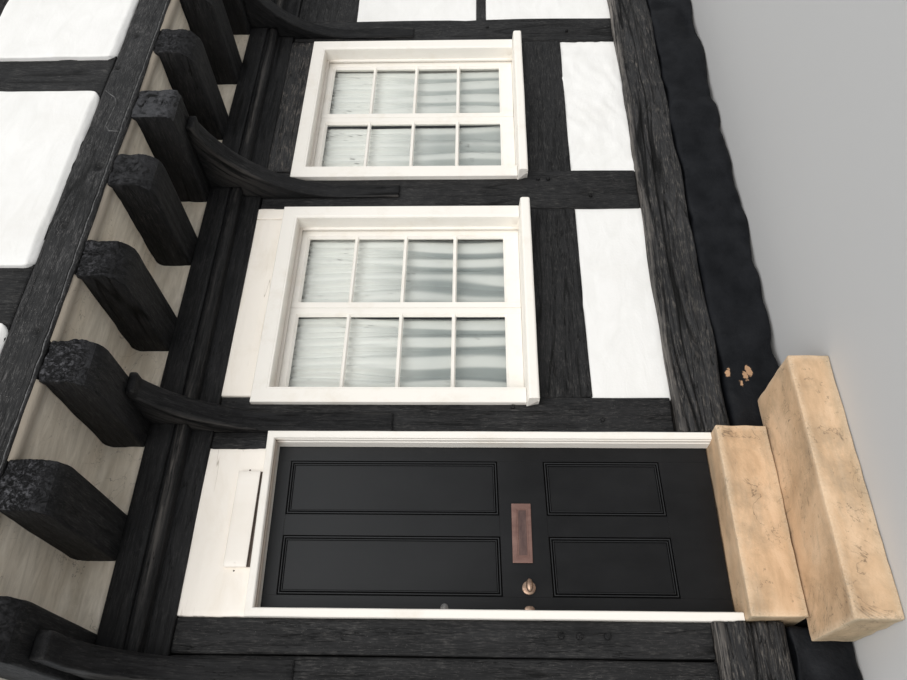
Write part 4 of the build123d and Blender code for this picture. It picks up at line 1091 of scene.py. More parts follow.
def turned(outline, centre, out, segments=32):
    """Turns an outline of (radius, distance out) points about an axis that points to the street or room."""
    form = bmesh.new()
    verts = [form.verts.new((radius, out * along, 0)) for radius, along in outline]
    edges = [form.edges.new(pair) for pair in zip(verts, verts[1:])]
    bmesh.ops.spin(form, geom=verts + edges, cent=(0, 0, 0), axis=(0, 1, 0), angle=math.tau, steps=segments,
                   use_merge=True)
    bmesh.ops.remove_doubles(form, verts=form.verts, dist=1e-5)
    bmesh.ops.recalc_face_normals(form, faces=form.faces)
    bmesh.ops.translate(form, verts=form.verts, vec=centre)
    return form


knob_low, knob_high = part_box("door_knob")
centre_x, centre_z = (knob_low.x + knob_high.x) / 2, (knob_low.z + knob_high.z) / 2
rose_outline = [(0, 0), (0.030, 0), (0.030, 0.0022), (0.028, 0.0040), (0.0225, 0.0044), (0.021, 0.0060),
                (0, 0.0060)]
roses = bmesh.new()
knob = bmesh.new()
head = [(0, 0), (0.0100, 0), (0.0098, 0.012), (0.0085, 0.020), (0.0095, 0.024), (0.0150, 0.0275),
        (0.0215, 0.0330), (0.0255, 0.0400), (0.0266, 0.0470), (0.0245, 0.0535), (0.0190, 0.0583),
        (0.0110, 0.0611), (0, 0.0620)]
for face_y, out in ((leaf_low.y, -1), (leaf_high.y, 1)):
    add_to(roses, turned(rose_outline, (centre_x, face_y, centre_z), out))
    egg = turned(head, (centre_x, face_y, centre_z), out)
    for v in egg.verts:
        share = clamped(((v.co.y - face_y) * out - 0.020) / 0.012)
        v.co.x += (v.co.x - centre_x) * 0.10 * share
        v.co.z -= (v.co.z - centre_z) * 0.42 * share
    add_to(knob, egg)
oval = turned([(0, 0), (0.013, 0), (0.013, 0.002), (0.0105, 0.0035), (0, 0.0040)], (0, 0, 0), -1, segments=24)
bmesh.ops.scale(oval, verts=oval.verts, vec=(1, 1, 1.7))
bmesh.ops.translate(oval, verts=oval.verts, vec=(leaf_low.x + 0.030, leaf_low.y, centre_z))
add_to(roses, oval)
piece("bronze_roses", roses, body="door", stands_for=["knob_roses"],
      finish=[knob_metal])
piece("bronze_knob", knob, body="door", stands_for=["door_knob"], finish=[knob_metal])
lock_metal = Finish("grey_lock_metal", roughness=0.4, metallic=0.7)
lock_metal.paint(lock_metal.noise(60, detail=5), (0.3, 0.16), (0.7, (0.30, 0.29, 0.28)))
low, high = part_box("lock_cylinder")
middle = (low + high) / 2
lock_outline = [(0, 0), (0.017, 0), (0.017, 0.0035), (0.0155, 0.0052), (0.0105, 0.0056), (0.0098, 0.0078),
                (0, 0.008)]
lock = turned(lock_outline, (middle.x, high.y, middle.z), -1)
# A dark slot on the lock face: painted shade for the keyway.
slit = squared(Vector((middle.x - 0.0011, low.y - 0.0003, middle.z - 0.0055)),
               Vector((middle.x + 0.0011, low.y + 0.002, middle.z + 0.0055)), (1, 1, 1), 0.0004)
use_finish(slit, 1)
add_to(lock, slit)
piece("lock_face", lock, body="door", stands_for=["lock_cylinder"],
      finish=[lock_metal, oak_level])

# Butt hinges of iron on the room side: five knuckles each on a pin, with the hinge's own leaf let into
# the jamb.
iron = Finish("hinge_iron", roughness=0.5, metallic=0.6)
iron.paint(iron.noise(50, detail=5), (0.3, (0.05, 0.045, 0.04)), (0.7, (0.14, 0.12, 0.10)))
hinges = bmesh.new()
for low, high in solids("door_hinges"):
    pin_x, pin_y, tall = low.x + 0.0067, high.y - 0.0067, high.z - low.z
    for knuckle in range(5):
        foot = low.z + knuckle * tall / 5
        barrel = bmesh.new()
        place = Matrix.Translation((pin_x, pin_y, foot + tall / 10))
        bmesh.ops.create_cone(barrel, cap_ends=True, segments=20, radius1=0.0066, radius2=0.0066,
                              depth=tall / 5 - 0.0008, matrix=place)
        add_to(hinges, barrel)
    boarded(hinges, (pin_x, high.x), (low.y, low.y + 0.003), (low.z, high.z), soft=0.0006)
piece("iron_hinges", hinges, stands_for=["door_hinges"], finish=[iron], smooth=False)

# Windows: box frames let in between the posts, each with planted face boards over the oak, a stepped reveal,
# and two glazed casements of four panes that meet in the middle. The back windows are alike.
SASH_STILE = 0.042
SASH_TOP_RAIL = 0.048
SASH_BOTTOM_RAIL = 0.078
MEETING_STILE = 0.037
FACE_BOARD = 0.085


def shaded_reveal(form, face_y, out, z_span):
    """Notes the brown shade painted into a reveal, under its head and over its foot."""
    reveal_shade = form.verts.layers.float.new("reveal_shade")
    foot, top = z_span
    for v in form.verts:
        if (face_y - v.co.y) * out > -0.012:
            nearest = min(top - v.co.z, 1.6 * (v.co.z - foot))
            v[reveal_shade] = 0.34 * clamped(1 - nearest / 0.06)
    return form


def window(wood, bay_x, face_y, out, z_span, opening, top, panes):
    """Builds one window: bay_x is its bay, z_span from the sill to the top of the face boards, opening its
    width from side to side and top the top of the opening."""
    x0, x1 = opening
    foot, face_top = z_span
    board_y, wall_y, stop_end, sash_front, glass_y, sash_back, room_y = (
        face_y + out * away for away in (0.030, 0.0, -0.070, -0.085, -0.103, -0.125, -0.180))
    board = [(0.0, wall_y - out * 0.06), (0.0, board_y - out * 0.006), (0.003, board_y - out * 0.002),
             (0.010, board_y - out * 0.002), (0.013, board_y), (FACE_BOARD - 0.004, board_y),
             (FACE_BOARD, board_y - out * 0.004), (FACE_BOARD, wall_y), (FACE_BOARD, wall_y - out * 0.06)]
    add_to(wood["frames"], shaded_reveal(surround(board, opening, (foot, top)), face_y, out, (foot, top)))
    stop = [(0.0, wall_y - out * 0.058), (-0.014, wall_y - out * 0.060), (-0.014, stop_end),
            (0.0, stop_end - out * 0.002)]
    add_to(wood["frames"], shaded_reveal(surround(stop, opening, (foot, top)), face_y, out, (foot, top)))
    for side_x in ((bay_x[0], x0), (x1, bay_x[1])):
        if side_x[1] - side_x[0] > 0.005:
            boarded(wood["frames"], side_x, sorted((wall_y - out * 0.001, room_y)), (foot, face_top),
                    soft=0.001)
    boarded(wood["frames"], bay_x, sorted((wall_y - out * 0.061, room_y)), (top, face_top), soft=0.001)
    centre_x = (x0 + x1) / 2
    glass_top, glass_foot = top - SASH_TOP_RAIL, foot + SASH_BOTTOM_RAIL
    for leaf_x in ((x0 + 0.001, centre_x - 0.001), (centre_x + 0.001, x1 - 0.001)):
        left_stile = SASH_STILE if leaf_x[0] < centre_x - 0.01 else MEETING_STILE
        right_stile = MEETING_STILE if leaf_x[0] < centre_x - 0.01 else SASH_STILE
        glass_x = (leaf_x[0] + left_stile, leaf_x[1] - right_stile)
        sash_y = sorted((sash_front, sash_back))
        boarded(wood["sashes"], (leaf_x[0], glass_x[0]), sash_y, (foot + 0.001, top - 0.001), soft=0.002)
        boarded(wood["sashes"], (glass_x[1], leaf_x[1]), sash_y, (foot + 0.001, top - 0.001), soft=0.002)
        boarded(wood["sashes"], glass_x, sash_y, (foot + 0.001, glass_foot), soft=0.002)
        boarded(wood["sashes"], glass_x, sash_y, (glass_top, top - 0.001), soft=0.002)
        putty = [(0.002, glass_y), (0.002, sash_front - out * 0.003), (-0.001, sash_front - out * 0.003),
                 (-0.011, glass_y + out * 0.001), (-0.011, glass_y)]
        add_to(wood["sashes"], surround(putty, glass_x, (glass_foot, glass_top), closed=True, step=0.2))
        for count in range(1, panes):
            height = glass_foot + count / panes * (glass_top - glass_foot)
            bar = bmesh.new()
            nose_y, back_y = sash_front - out * 0.004, sash_back + out * 0.006
            wing_y, lip_y = glass_y + out * 0.001, glass_y - out * 0.002
            bar_outline = [(nose_y, -0.005), (nose_y, 0.005), (wing_y, 0.012), (lip_y, 0.012),
                           (back_y, 0.005), (back_y, -0.005), (lip_y, -0.012), (wing_y, -0.012)]
            drawn_along(bar, [(bar_y, height + up) for bar_y, up in bar_outline], glass_x[0] - 0.003,
                        glass_x[1] - glass_x[0] + 0.006)
            add_to(wood["sashes"], bar)


def window_sill(wood, x_span, bay_x, face_y, out, z_span):
    """A sill board with a sloped top, a rounded nose and a drip groove, running back under the frame."""
    low_z, high_z = z_span
    nose = [(-0.180, high_z), (0.0, high_z), (0.080, high_z - 0.006), (0.087, high_z - 0.010),
            (0.090, high_z - 0.018), (0.090, low_z + 0.010), (0.087, low_z + 0.003), (0.080, low_z),
            (0.066, low_z), (0.064, low_z + 0.006), (0.056, low_z + 0.006), (0.054, low_z), (-0.180, low_z)]
    board = bmesh.new()
    drawn_along(board, [(face_y + out * away, z) for away, z in nose], x_span[0], x_span[1] - x_span[0])
    ends = [e for e in board.edges if reach(e, 0) < 1e-4 and e.calc_face_angle(0) > 1.2]
    eased(board, ends, 0.003)
    along = [e for e in board.edges if reach(e, 0) > 0.5]
    bmesh.ops.subdivide_edges(board, edges=along, cuts=24)
    for v in board.verts:
        behind_face = (v.co.y - face_y) * out < -0.002
        if behind_face:
            v.co.x = min(max(v.co.x, bay_x[0]), bay_x[1])
        v.co.z += 0.002 * noise.noise(Vector((v.co.x * 2.5, 4.0, 0)))
    add_to(wood["sills"], board)


groups = (("window", "ground_posts", 2.640, 4), ("upper_window", "upper_posts", 5.270, 3))
SILL_END = 0.093
SILL_TALL = 0.060
sill_boards = {"sills": bmesh.new()}
for group, posts_node, face_top, panes in groups:
    wood = {"frames": bmesh.new(), "sashes": bmesh.new()}
    for low, high in solids(f"{group}_sashes"):
        out = -1 if low.y < 0 else 1
        face_y = low.y - 0.085 if out < 0 else high.y + 0.085
        centre_x = (low.x + high.x) / 2
        along_wall = [pair for pair in solids(posts_node) if (pair[0].y < 0) == (out < 0)]
        bay_x = (max(post_high.x for post_low, post_high in along_wall if post_high.x < centre_x),
                 min(post_low.x for post_low, post_high in along_wall if post_low.x > centre_x))
        opening = (low.x, high.x)
        window(wood, bay_x, face_y, out, (low.z, face_top), opening, high.z, panes)
        window_sill(sill_boards, (low.x - SILL_END, high.x + SILL_END), bay_x, face_y, out,
                    (low.z - SILL_TALL, low.z))
    for kind, form in wood.items():
        for v in form.verts:
            v.co += Vector((1, 1, 0)) * 0.0008 * noise.noise(v.co * 3)
        piece(f"painted_{group}_{kind}", form, stands_for=[f"{group}_{kind}"],
              finish=[white_paint], smooth=False)
piece("painted_sills", sill_boards["sills"], stands_for=["window_sills"],
      finish=[white_paint], smooth=False)

# Panes: old drawn glass, puttied into the casements, a little wavy so that what it mirrors is bent. They
# keep the meshes of the CAD model, and only the material is new.
glass = bpy.data.materials.new("window_glass")
glass.use_nodes = True
nodes, links = glass.node_tree.nodes, glass.node_tree.links
nodes.clear()
clear = nodes.new("ShaderNodeBsdfTransparent")
clear.inputs["Color"].default_value = (0.94, 0.95, 0.945, 1)
shine = nodes.new("ShaderNodeBsdfGlossy")
shine.inputs["Color"].default_value = (0.93, 0.97, 1.0, 1)
shine.inputs["Roughness"].default_value = 0.02
wave_place = nodes.new("ShaderNodeTexCoord")
waves = nodes.new("ShaderNodeTexNoise")
waves.inputs["Scale"].default_value = 4.5
waves.inputs["Detail"].default_value = 1.0
wavy = nodes.new("ShaderNodeBump")
wavy.inputs["Strength"].default_value = 0.08
wavy.inputs["Distance"].default_value = 0.01
edge_on = nodes.new("ShaderNodeFresnel")
edge_on.inputs["IOR"].default_value = 1.45
blended = nodes.new("ShaderNodeMixShader")
surface = nodes.new("ShaderNodeOutputMaterial")
links.new(wave_place.outputs["Object"], waves.inputs["Vector"])
links.new(waves.outputs["Fac"], wavy.inputs["Height"])
links.new(wavy.outputs["Normal"], shine.inputs["Normal"])
outside = nodes.new("ShaderNodeMath")
outside.operation = "SUBTRACT"
outside.inputs[0].default_value = 1.0
mirrored = nodes.new("ShaderNodeMath")
mirrored.operation = "MULTIPLY"
links.new(nodes.new("ShaderNodeNewGeometry").outputs["Backfacing"], outside.inputs[1])
links.new(edge_on.outputs["Fac"], mirrored.inputs[0])
links.new(outside.outputs[0], mirrored.inputs[1])
links.new(mirrored.outputs[0], blended.inputs["Fac"])
links.new(clear.outputs[0], blended.inputs[1])
links.new(shine.outputs[0], blended.inputs[2])
links.new(blended.outputs[0], surface.inputs["Surface"])
for node in ("window_glass", "upper_window_glass"):
    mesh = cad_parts[node].data
    mesh.materials.clear()
    mesh.materials.append(glass)

# Brass rods and net curtains: each window has a pair of white nets, gathered on one rod and parted so that
# the deep folds hang at either side of the room behind the glass.
brass = Finish("rod_brass", roughness=0.3, metallic=0.9)
brass.paint(brass.noise(40), (0.3, (0.36, 0.25, 0.10)), (0.7, (0.55, 0.42, 0.18)))
rods = bmesh.new()
for low, high in solids("curtain_rods"):
    middle = (low + high) / 2
    add_to(rods, rod(middle, 0.005, high.x - low.x - 0.01))
    for x in (low.x + 0.004, high.x - 0.004):
        add_to(rods, rod((x, middle.y, middle.z), 0.006, 0.008))
piece("brass_rods", rods, stands_for=["curtain_rods"], finish=[brass])

net = Finish("net_curtain", roughness=0.85)
weave = net.noise(240, (1, 1, 0.6), detail=2)
# The nets are painted darker in their deep folds and brighter over the fine pleats at the top: painted shade
# and painted light that follow each fold.
fold_shade = net.times(net.noted("fold_shade"), net.ramp(weave, (0.3, 0.94), (0.7, 1.0)))
net.paint(fold_shade, (0.0, (0.33, 0.355, 0.35)), (1.0, (0.99, 0.975, 0.94)))
net.bump(weave, 0.0006, 0.4)
net.surface.inputs["Sheen Weight"].default_value = 0.2
NET_FOLDS = 4
FOLD_DEPTH = 0.0155
for side_name in ("left", "right"):
    nets = bmesh.new()
    flat_area = 0
    for number, (low, high) in enumerate(solids(f"{side_name}_net_curtains")):
        cloth = bmesh.new()
        wide, tall = high.x - low.x, high.z - low.z
        bmesh.ops.create_grid(cloth, x_segments=150, y_segments=40, size=0.5)
        offset = number * 2.7 + (0 if side_name == "left" else 5.1)
        shade = cloth.verts.layers.float.new("fold_shade")
        # Each window's nets have their own range of painted shade.
        open_tone, fold_tone = (0.0, 0.62) if side_name == "left" else (0.16, 0.44)
        for v in cloth.verts:
            across, up = v.co.x + 0.5, v.co.y + 0.5
            drift = 0.12 * noise.noise(Vector((across * 2.4, up * 2.1, offset)))
            phase = math.tau * NET_FOLDS * (across + drift * (1 - 0.7 * up))
            split = clamped((up - 0.38) / 0.34)
            depth = FOLD_DEPTH * (0.8 + 0.4 * noise.noise(Vector((across * 5, up * 1.2, offset + 9))))
            gathers = 0.65 * math.sin(3 * phase + 1.2) + 0.35 * math.sin(phase)
            y = (1 - split) * math.sin(phase) + split * gathers
            y = (low.y + high.y) / 2 + depth * y
            lean = 0.014 * math.cos(phase) * (1 - 0.6 * split)
            lean *= min(1, 12 * across, 12 * (1 - across))
            uneven = noise.noise(Vector((across * 7, up * 0.6, offset + 4)))
            band = 0.5 + 0.5 * math.tanh(6 * (uneven - math.sin(phase + 0.2) - 0.60))
            fine = 0.5 + 0.30 * math.sin(3 * phase + 2.2) + 0.20 * math.sin(7 * phase + 0.7)
            v[shade] = (1 - split) * (open_tone + fold_tone * band) + split * (0.80 + 0.20 * fine)
            v.co = Vector((low.x + 0.006 + across * (wide - 0.012) + lean, y, low.z + up * (tall - 0.002)))
        flat_area += sum(face.calc_area() for face in cloth.faces)
        bmesh.ops.solidify(cloth, geom=cloth.faces[:], thickness=0.0010)
        add_to(nets, cloth)
    height = tall - 0.002
    hung = piece(f"{side_name}_gathered_nets", nets, stands_for=[f"{side_name}_net_curtains"],
                 finish=[net])

# Plinth: rubble masonry under the sill beams, bulging and painted blue-black over and over, with a few
# chips that show the ochre stone.
footing_finish = Finish("black_footing", roughness=0.6, shine=0.14)
lumps = footing_finish.noise(7, detail=6, roughness=0.65)
chipping = footing_finish.noise(9, detail=7, roughness=0.75, shift=(7, 7, 7))
chips = footing_finish.ramp(chipping, (0.72, 0.0), (0.74, 1.0))
ragged_edge = footing_finish.times(footing_finish.noise(60, detail=3), 0.05)
for place, across in (((-1.421, -2.14, 0.284), 0.050), ((-1.415, -2.14, 0.185), 0.056),
                      ((-1.445, -2.14, 0.205), 0.052), ((-1.49, -2.14, 0.235), 0.041)):
    away = footing_finish.sum("ADD", footing_finish.far(place, (1, 0.3, 1.8)), ragged_edge)
    chip = footing_finish.ramp(away, (across - 0.004, 1.0), (across, 0.0))
    chips = footing_finish.sum("MAXIMUM", chips, chip)
body = footing_finish.ramp(lumps, (0.35, (0.004, 0.0047, 0.0062)), (0.7, (0.012, 0.013, 0.0155)))
footing_finish.set("Base Color", footing_finish.mix(chips, body, (0.46, 0.28, 0.165)))
footing_finish.bump(lumps, 0.02, 0.6)
footing_finish.bump(footing_finish.noise(40, detail=5), 0.003, 0.6)
footing_finish.sink(chips, 0.004, 0.6)
LEDGE = 0.060
floor_low, floor_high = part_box("ground_floor")
DOOR_BAY_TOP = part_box("doorstep")[1].z
stones = bmesh.new()
sill_feet = sorted({round(low.z, 4) for low, high in solids("sill_beams") if low.y < 0})
for low, high in solids("footing"):
    at_street = low.y < 0
    if at_street:
        wall_y, ledge_y = (low.y, high.y - LEDGE), (high.y - LEDGE, high.y)
        lengths = [(low.x, door_low.x, sill_feet[0]), (door_low.x, door_high.x, DOOR_BAY_TOP),
                   (door_high.x, high.x, sill_feet[1])]
    else:
        wall_y, ledge_y = (low.y + LEDGE, high.y), (low.y, low.y + LEDGE)
        lengths = [(low.x, high.x, sill_feet[1])]
    boarded(stones, (floor_low.x, floor_high.x), ledge_y, (low.z, high.z), soft=0.004, steps=(0.3, 1, 0.2))
    for start, stop, top in lengths:
        run = squared(Vector((start, wall_y[0], low.z)), Vector((stop, wall_y[1], top)),
                      (0.035, 0.06, 0.03), 0.03)
        run.normal_update()
        for v in run.verts:
            outer = v.co.y < low.y + 0.1 if at_street else v.co.y > high.y - 0.1
            if outer:
                place = v.co * 3.4
                swell = 0.026 * noise.noise(place) - 0.026 * max(0, noise.noise(place * 2.2)) - 0.010
                v.co += v.normal * swell
            v.co.z = max(0.0, v.co.z)
        add_to(stones, run)
piece("rubble_plinth", stones, stands_for=["footing"], finish=[footing_finish])

# Door steps: two blocks of pale sandstone, a long one on the ground and the threshold above it, their
# arrises rounded and their faces stained and hollowed by feet and weather.
stone = Finish("step_stone", roughness=0.8)
bed = stone.noise(2.6, (1, 1, 2.5), detail=6, roughness=0.65, warp=0.4)
stain = stone.noise(4.1, detail=7, roughness=0.7, shift=(2, 9, 4))
grit = stone.noise(130, detail=3)
vein = stone.noise(3.4, detail=5, roughness=0.6, warp=1.2, shift=(5, 1, 3))
hairline = stone.lines(vein, 0.006, 0.75)
hairline = stone.times(hairline, stone.ramp(stain, (0.48, 0.0), (0.55, 1.0)))
pits = stone.ramp(stone.noise(48, detail=4, shift=(1, 8, 2)), (0.66, 0.0), (0.70, 0.4))
tone = stone.ramp(bed, (0.3, (0.445, 0.288, 0.165)), (0.5, (0.638, 0.435, 0.266)),
                  (0.72, (0.785, 0.572, 0.382)))
tone = stone.mix(stone.ramp(stain, (0.48, 0.0), (0.74, 0.8)), tone, (0.33, 0.235, 0.145))
streaks = stone.noise(5.2, (0.35, 1, 1), detail=7, roughness=0.72, warp=0.7, shift=(3, 5, 1))
tone = stone.mix(stone.ramp(streaks, (0.50, 0.0), (0.70, 0.55)), tone, (0.30, 0.245, 0.175))
tone = stone.mix(stone.times(stone.noted("damp"), stone.ramp(bed, (0.3, 1.0), (0.7, 0.6))),
                 tone, (0.265, 0.235, 0.150))
tone = stone.mix(stone.sum("MAXIMUM", hairline, pits), tone, (0.13, 0.09, 0.055))
# Paler along the arrises: wear, and a painted highlight on the edges.
arris_wear_and_highlight = stone.times(stone.noted("arris_wear_and_highlight"), stone.ramp(grit, (0.35, 0.35), (0.6, 1.0)))
stone.set("Base Color", stone.mix(arris_wear_and_highlight, tone, (0.86, 0.72, 0.54)))
stone.bump(stain, 0.008, 0.5)
stone.bump(grit, 0.0012, 0.7)
steps = bmesh.new()
for number, node in enumerate(("doorstep", "threshold_stone")):
    low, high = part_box(node)
    block = squared(low, high, (0.025, 0.025, 0.025), 0.009, segments=3)
    arris_layer = block.verts.layers.float.new("arris_wear_and_highlight")
    damp = block.verts.layers.float.new("damp")
    block.normal_update()
    for v in block.verts:
        wet_foot = max(0, 0.5 - (v.co.z - low.z) / 0.10)
        v[damp] = min(0.8, wet_foot + (0.55 if v.normal.x < -0.8 else 0.0))
        near_faces = sum(min(v.co[axis] - low[axis], high[axis] - v.co[axis]) < 0.0095 for axis in range(3))
        v[arris_layer] = 0.30 if near_faces > 1 else 0.0
        place = v.co * 4 + Vector((number * 5, 0, 0))
        v.co += v.normal * (0.005 * noise.noise(place) + 0.003 * noise.noise(place * 4) - 0.003)
        v.co.z = max(0.0, v.co.z)
    add_to(steps, block)
piece("stone_steps", steps, stands_for=["doorstep", "threshold_stone"], finish=[stone])

# Floors: old elm boards of uneven width, laid along the house and nailed over the joists, with narrow
# gaps between them.
boards_finish = Finish("floor_boards", roughness=0.5)
figure = boards_finish.noise(10, (0.06, 1, 1), detail=6, roughness=0.6, warp=0.7)
boards_finish.paint(figure, (0.3, (0.09, 0.05, 0.028)), (0.7, (0.22, 0.135, 0.075)))
boards_finish.bump(figure, 0.0015, 0.5)
for node in ("ground_floor", "upper_floor"):
    low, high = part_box(node)
    laid = bmesh.new()
    y = low.y
    count = 0
    while y < high.y - 0.01:
        wide = 0.19 + 0.05 * noise.noise(Vector((count * 1.7, 3.3, 0.5)))
        stop = high.y if y + wide > high.y - 0.08 else y + wide
        boarded(laid, (low.x, high.x), (y + 0.001, stop - 0.001), (low.z, high.z), soft=0.002,
                steps=(1, 1, 1))
        y = stop
        count += 1
    piece(f"{node}_boards", laid, stands_for=[node], finish=[boards_finish],
          smooth=False)

# Upper storey frame: squared and painted oak posts over the jetty beam and the back wall, and the eaves
# plates that tie their heads and carry the rafters.
upper = bmesh.new()
for number, (low, high) in enumerate(solids("upper_posts")):
    post = squared(low, high, (0.03, 0.05, 0.04) if low.y < 0 else (0.06, 0.09, 0.12), 0.009)
    hand_worked(post, 2, bow=0.006, adze=0.004, seed=200 + number)
    add_to(upper, post)
piece("old_upper_posts", upper, stands_for=["upper_posts"], finish=[oak_upright])
plates = bmesh.new()
for number, (low, high) in enumerate(solids("eaves_plates")):
    top_plate = squared(low, high, (0.06, 0.06, 0.04), 0.010)
    hand_worked(top_plate, 0, seed=220 + number)
    add_to(plates, top_plate)
piece("old_eaves_plates", plates, stands_for=["eaves_plates"], finish=[oak_level])

# Party walls: rubble masonry under roughcast, uneven and weathered, with rain stains under the verge and
# a damp foot.
render = Finish("party_render", roughness=0.9)
wash = render.noise(1.1, (1, 1, 0.35), detail=6, roughness=0.65)
pebbles = render.noise(110, detail=3)
runs = render.noise(2.2, (1, 1.6, 0.16), detail=6, roughness=0.7, shift=(3, 3, 3))
patches = render.noise(0.8, (1, 1, 1.2), detail=5, roughness=0.6, warp=0.6, shift=(7, 1, 4))
coat = render.mix(render.ramp(wash, (0.45, 0.0), (0.8, 0.8)), (0.62, 0.58, 0.50), (0.40, 0.36, 0.30))
coat = render.mix(render.ramp(patches, (0.585, 0.0), (0.60, 0.55)), coat, (0.72, 0.69, 0.62))
rained = render.times(render.noted("rained"), render.ramp(runs, (0.42, 0.0), (0.66, 1.0)))
coat = render.mix(rained, coat, (0.19, 0.17, 0.14))
damp_foot = render.times(render.noted("damp"), render.ramp(wash, (0.3, 1.0), (0.7, 0.5)))
coat = render.mix(damp_foot, coat, (0.20, 0.19, 0.13))
web = render.noise(0.9, detail=6, roughness=0.62, warp=0.4, shift=(2, 6, 8))
crack = render.lines(web, 0.0022, 0.85)
crack = render.times(crack, render.ramp(patches, (0.42, 1.0), (0.50, 0.0)))
render.set("Base Color", render.mix(crack, coat, (0.14, 0.12, 0.10)))
render.bump(wash, 0.02, 0.4)
render.bump(pebbles, 0.003, 0.8)
for side_name in ("left", "right"):
    wall = cad_form(f"{side_name}_party_wall")
    sliced(wall, 0.12, axes=(1, 2))
    wall.normal_update()
    outer_x = min(v.co.x for v in wall.verts) if side_name == "left" else max(v.co.x for v in wall.verts)
    wall_top = max(v.co.z for v in wall.verts)
    damp, rained = wall.verts.layers.float.new("damp"), wall.verts.layers.float.new("rained")
    for v in wall.verts:
        v[damp] = 0.85 * max(0, 1 - v.co.z / (0.75 + 0.3 * noise.noise(v.co * 0.9)))
        under_verge = wall_top - abs(v.co.y) - v.co.z
        v[rained] = 0.75 * max(0, 1 - under_verge / 1.3)
        if abs(v.co.x - outer_x) < 0.001 and abs(v.normal.x) > 0.95:
            swell = 0.5 + 0.5 * noise.noise(v.co * 0.9) + 0.25 * noise.noise(v.co * 3.1)
            v.co.x -= math.copysign(0.012, outer_x) * max(0, swell)
    piece(f"{side_name}_rendered_wall", wall, stands_for=[f"{side_name}_party_wall"],
          finish=[render])

# Roof: softwood rafters under boards, and over them plain clay tiles hung in courses that break joint, each
# a little twisted and cambered, so that the slopes look hand made.
TILE_GAUGE = 0.100
TILE_L = 0.262
TILE_W = 0.163
TILE_T = 0.012
ROOF_THICK = 0.110
RAFTER_W = 0.060
RAFTER_COUNT = 14
tile_finish = Finish("clay_tile", roughness=0.85)
fired = tile_finish.noted("fired")
weathered = tile_finish.noise(1.6, detail=6, roughness=0.65)
tile_tone = tile_finish.ramp(fired, (0.0, (0.13, 0.062, 0.045)), (0.3, (0.22, 0.085, 0.050)),
                             (0.7, (0.33, 0.140, 0.083)), (1.0, (0.40, 0.215, 0.135)))
tile_finish.set("Base Color", tile_finish.mix(
    tile_finish.ramp(weathered, (0.48, 0.0), (0.75, 0.8)), tile_tone, (0.12, 0.10, 0.075)))
tile_finish.bump(tile_finish.noise(90, detail=4), 0.002, 0.6)
rafter_finish = Finish("rafter_softwood", roughness=0.8)
rings = rafter_finish.noise(30, (1, 0.1, 1), detail=5)
rafter_finish.paint(rings, (0.3, (0.13, 0.09, 0.06)), (0.7, (0.26, 0.19, 0.13)))
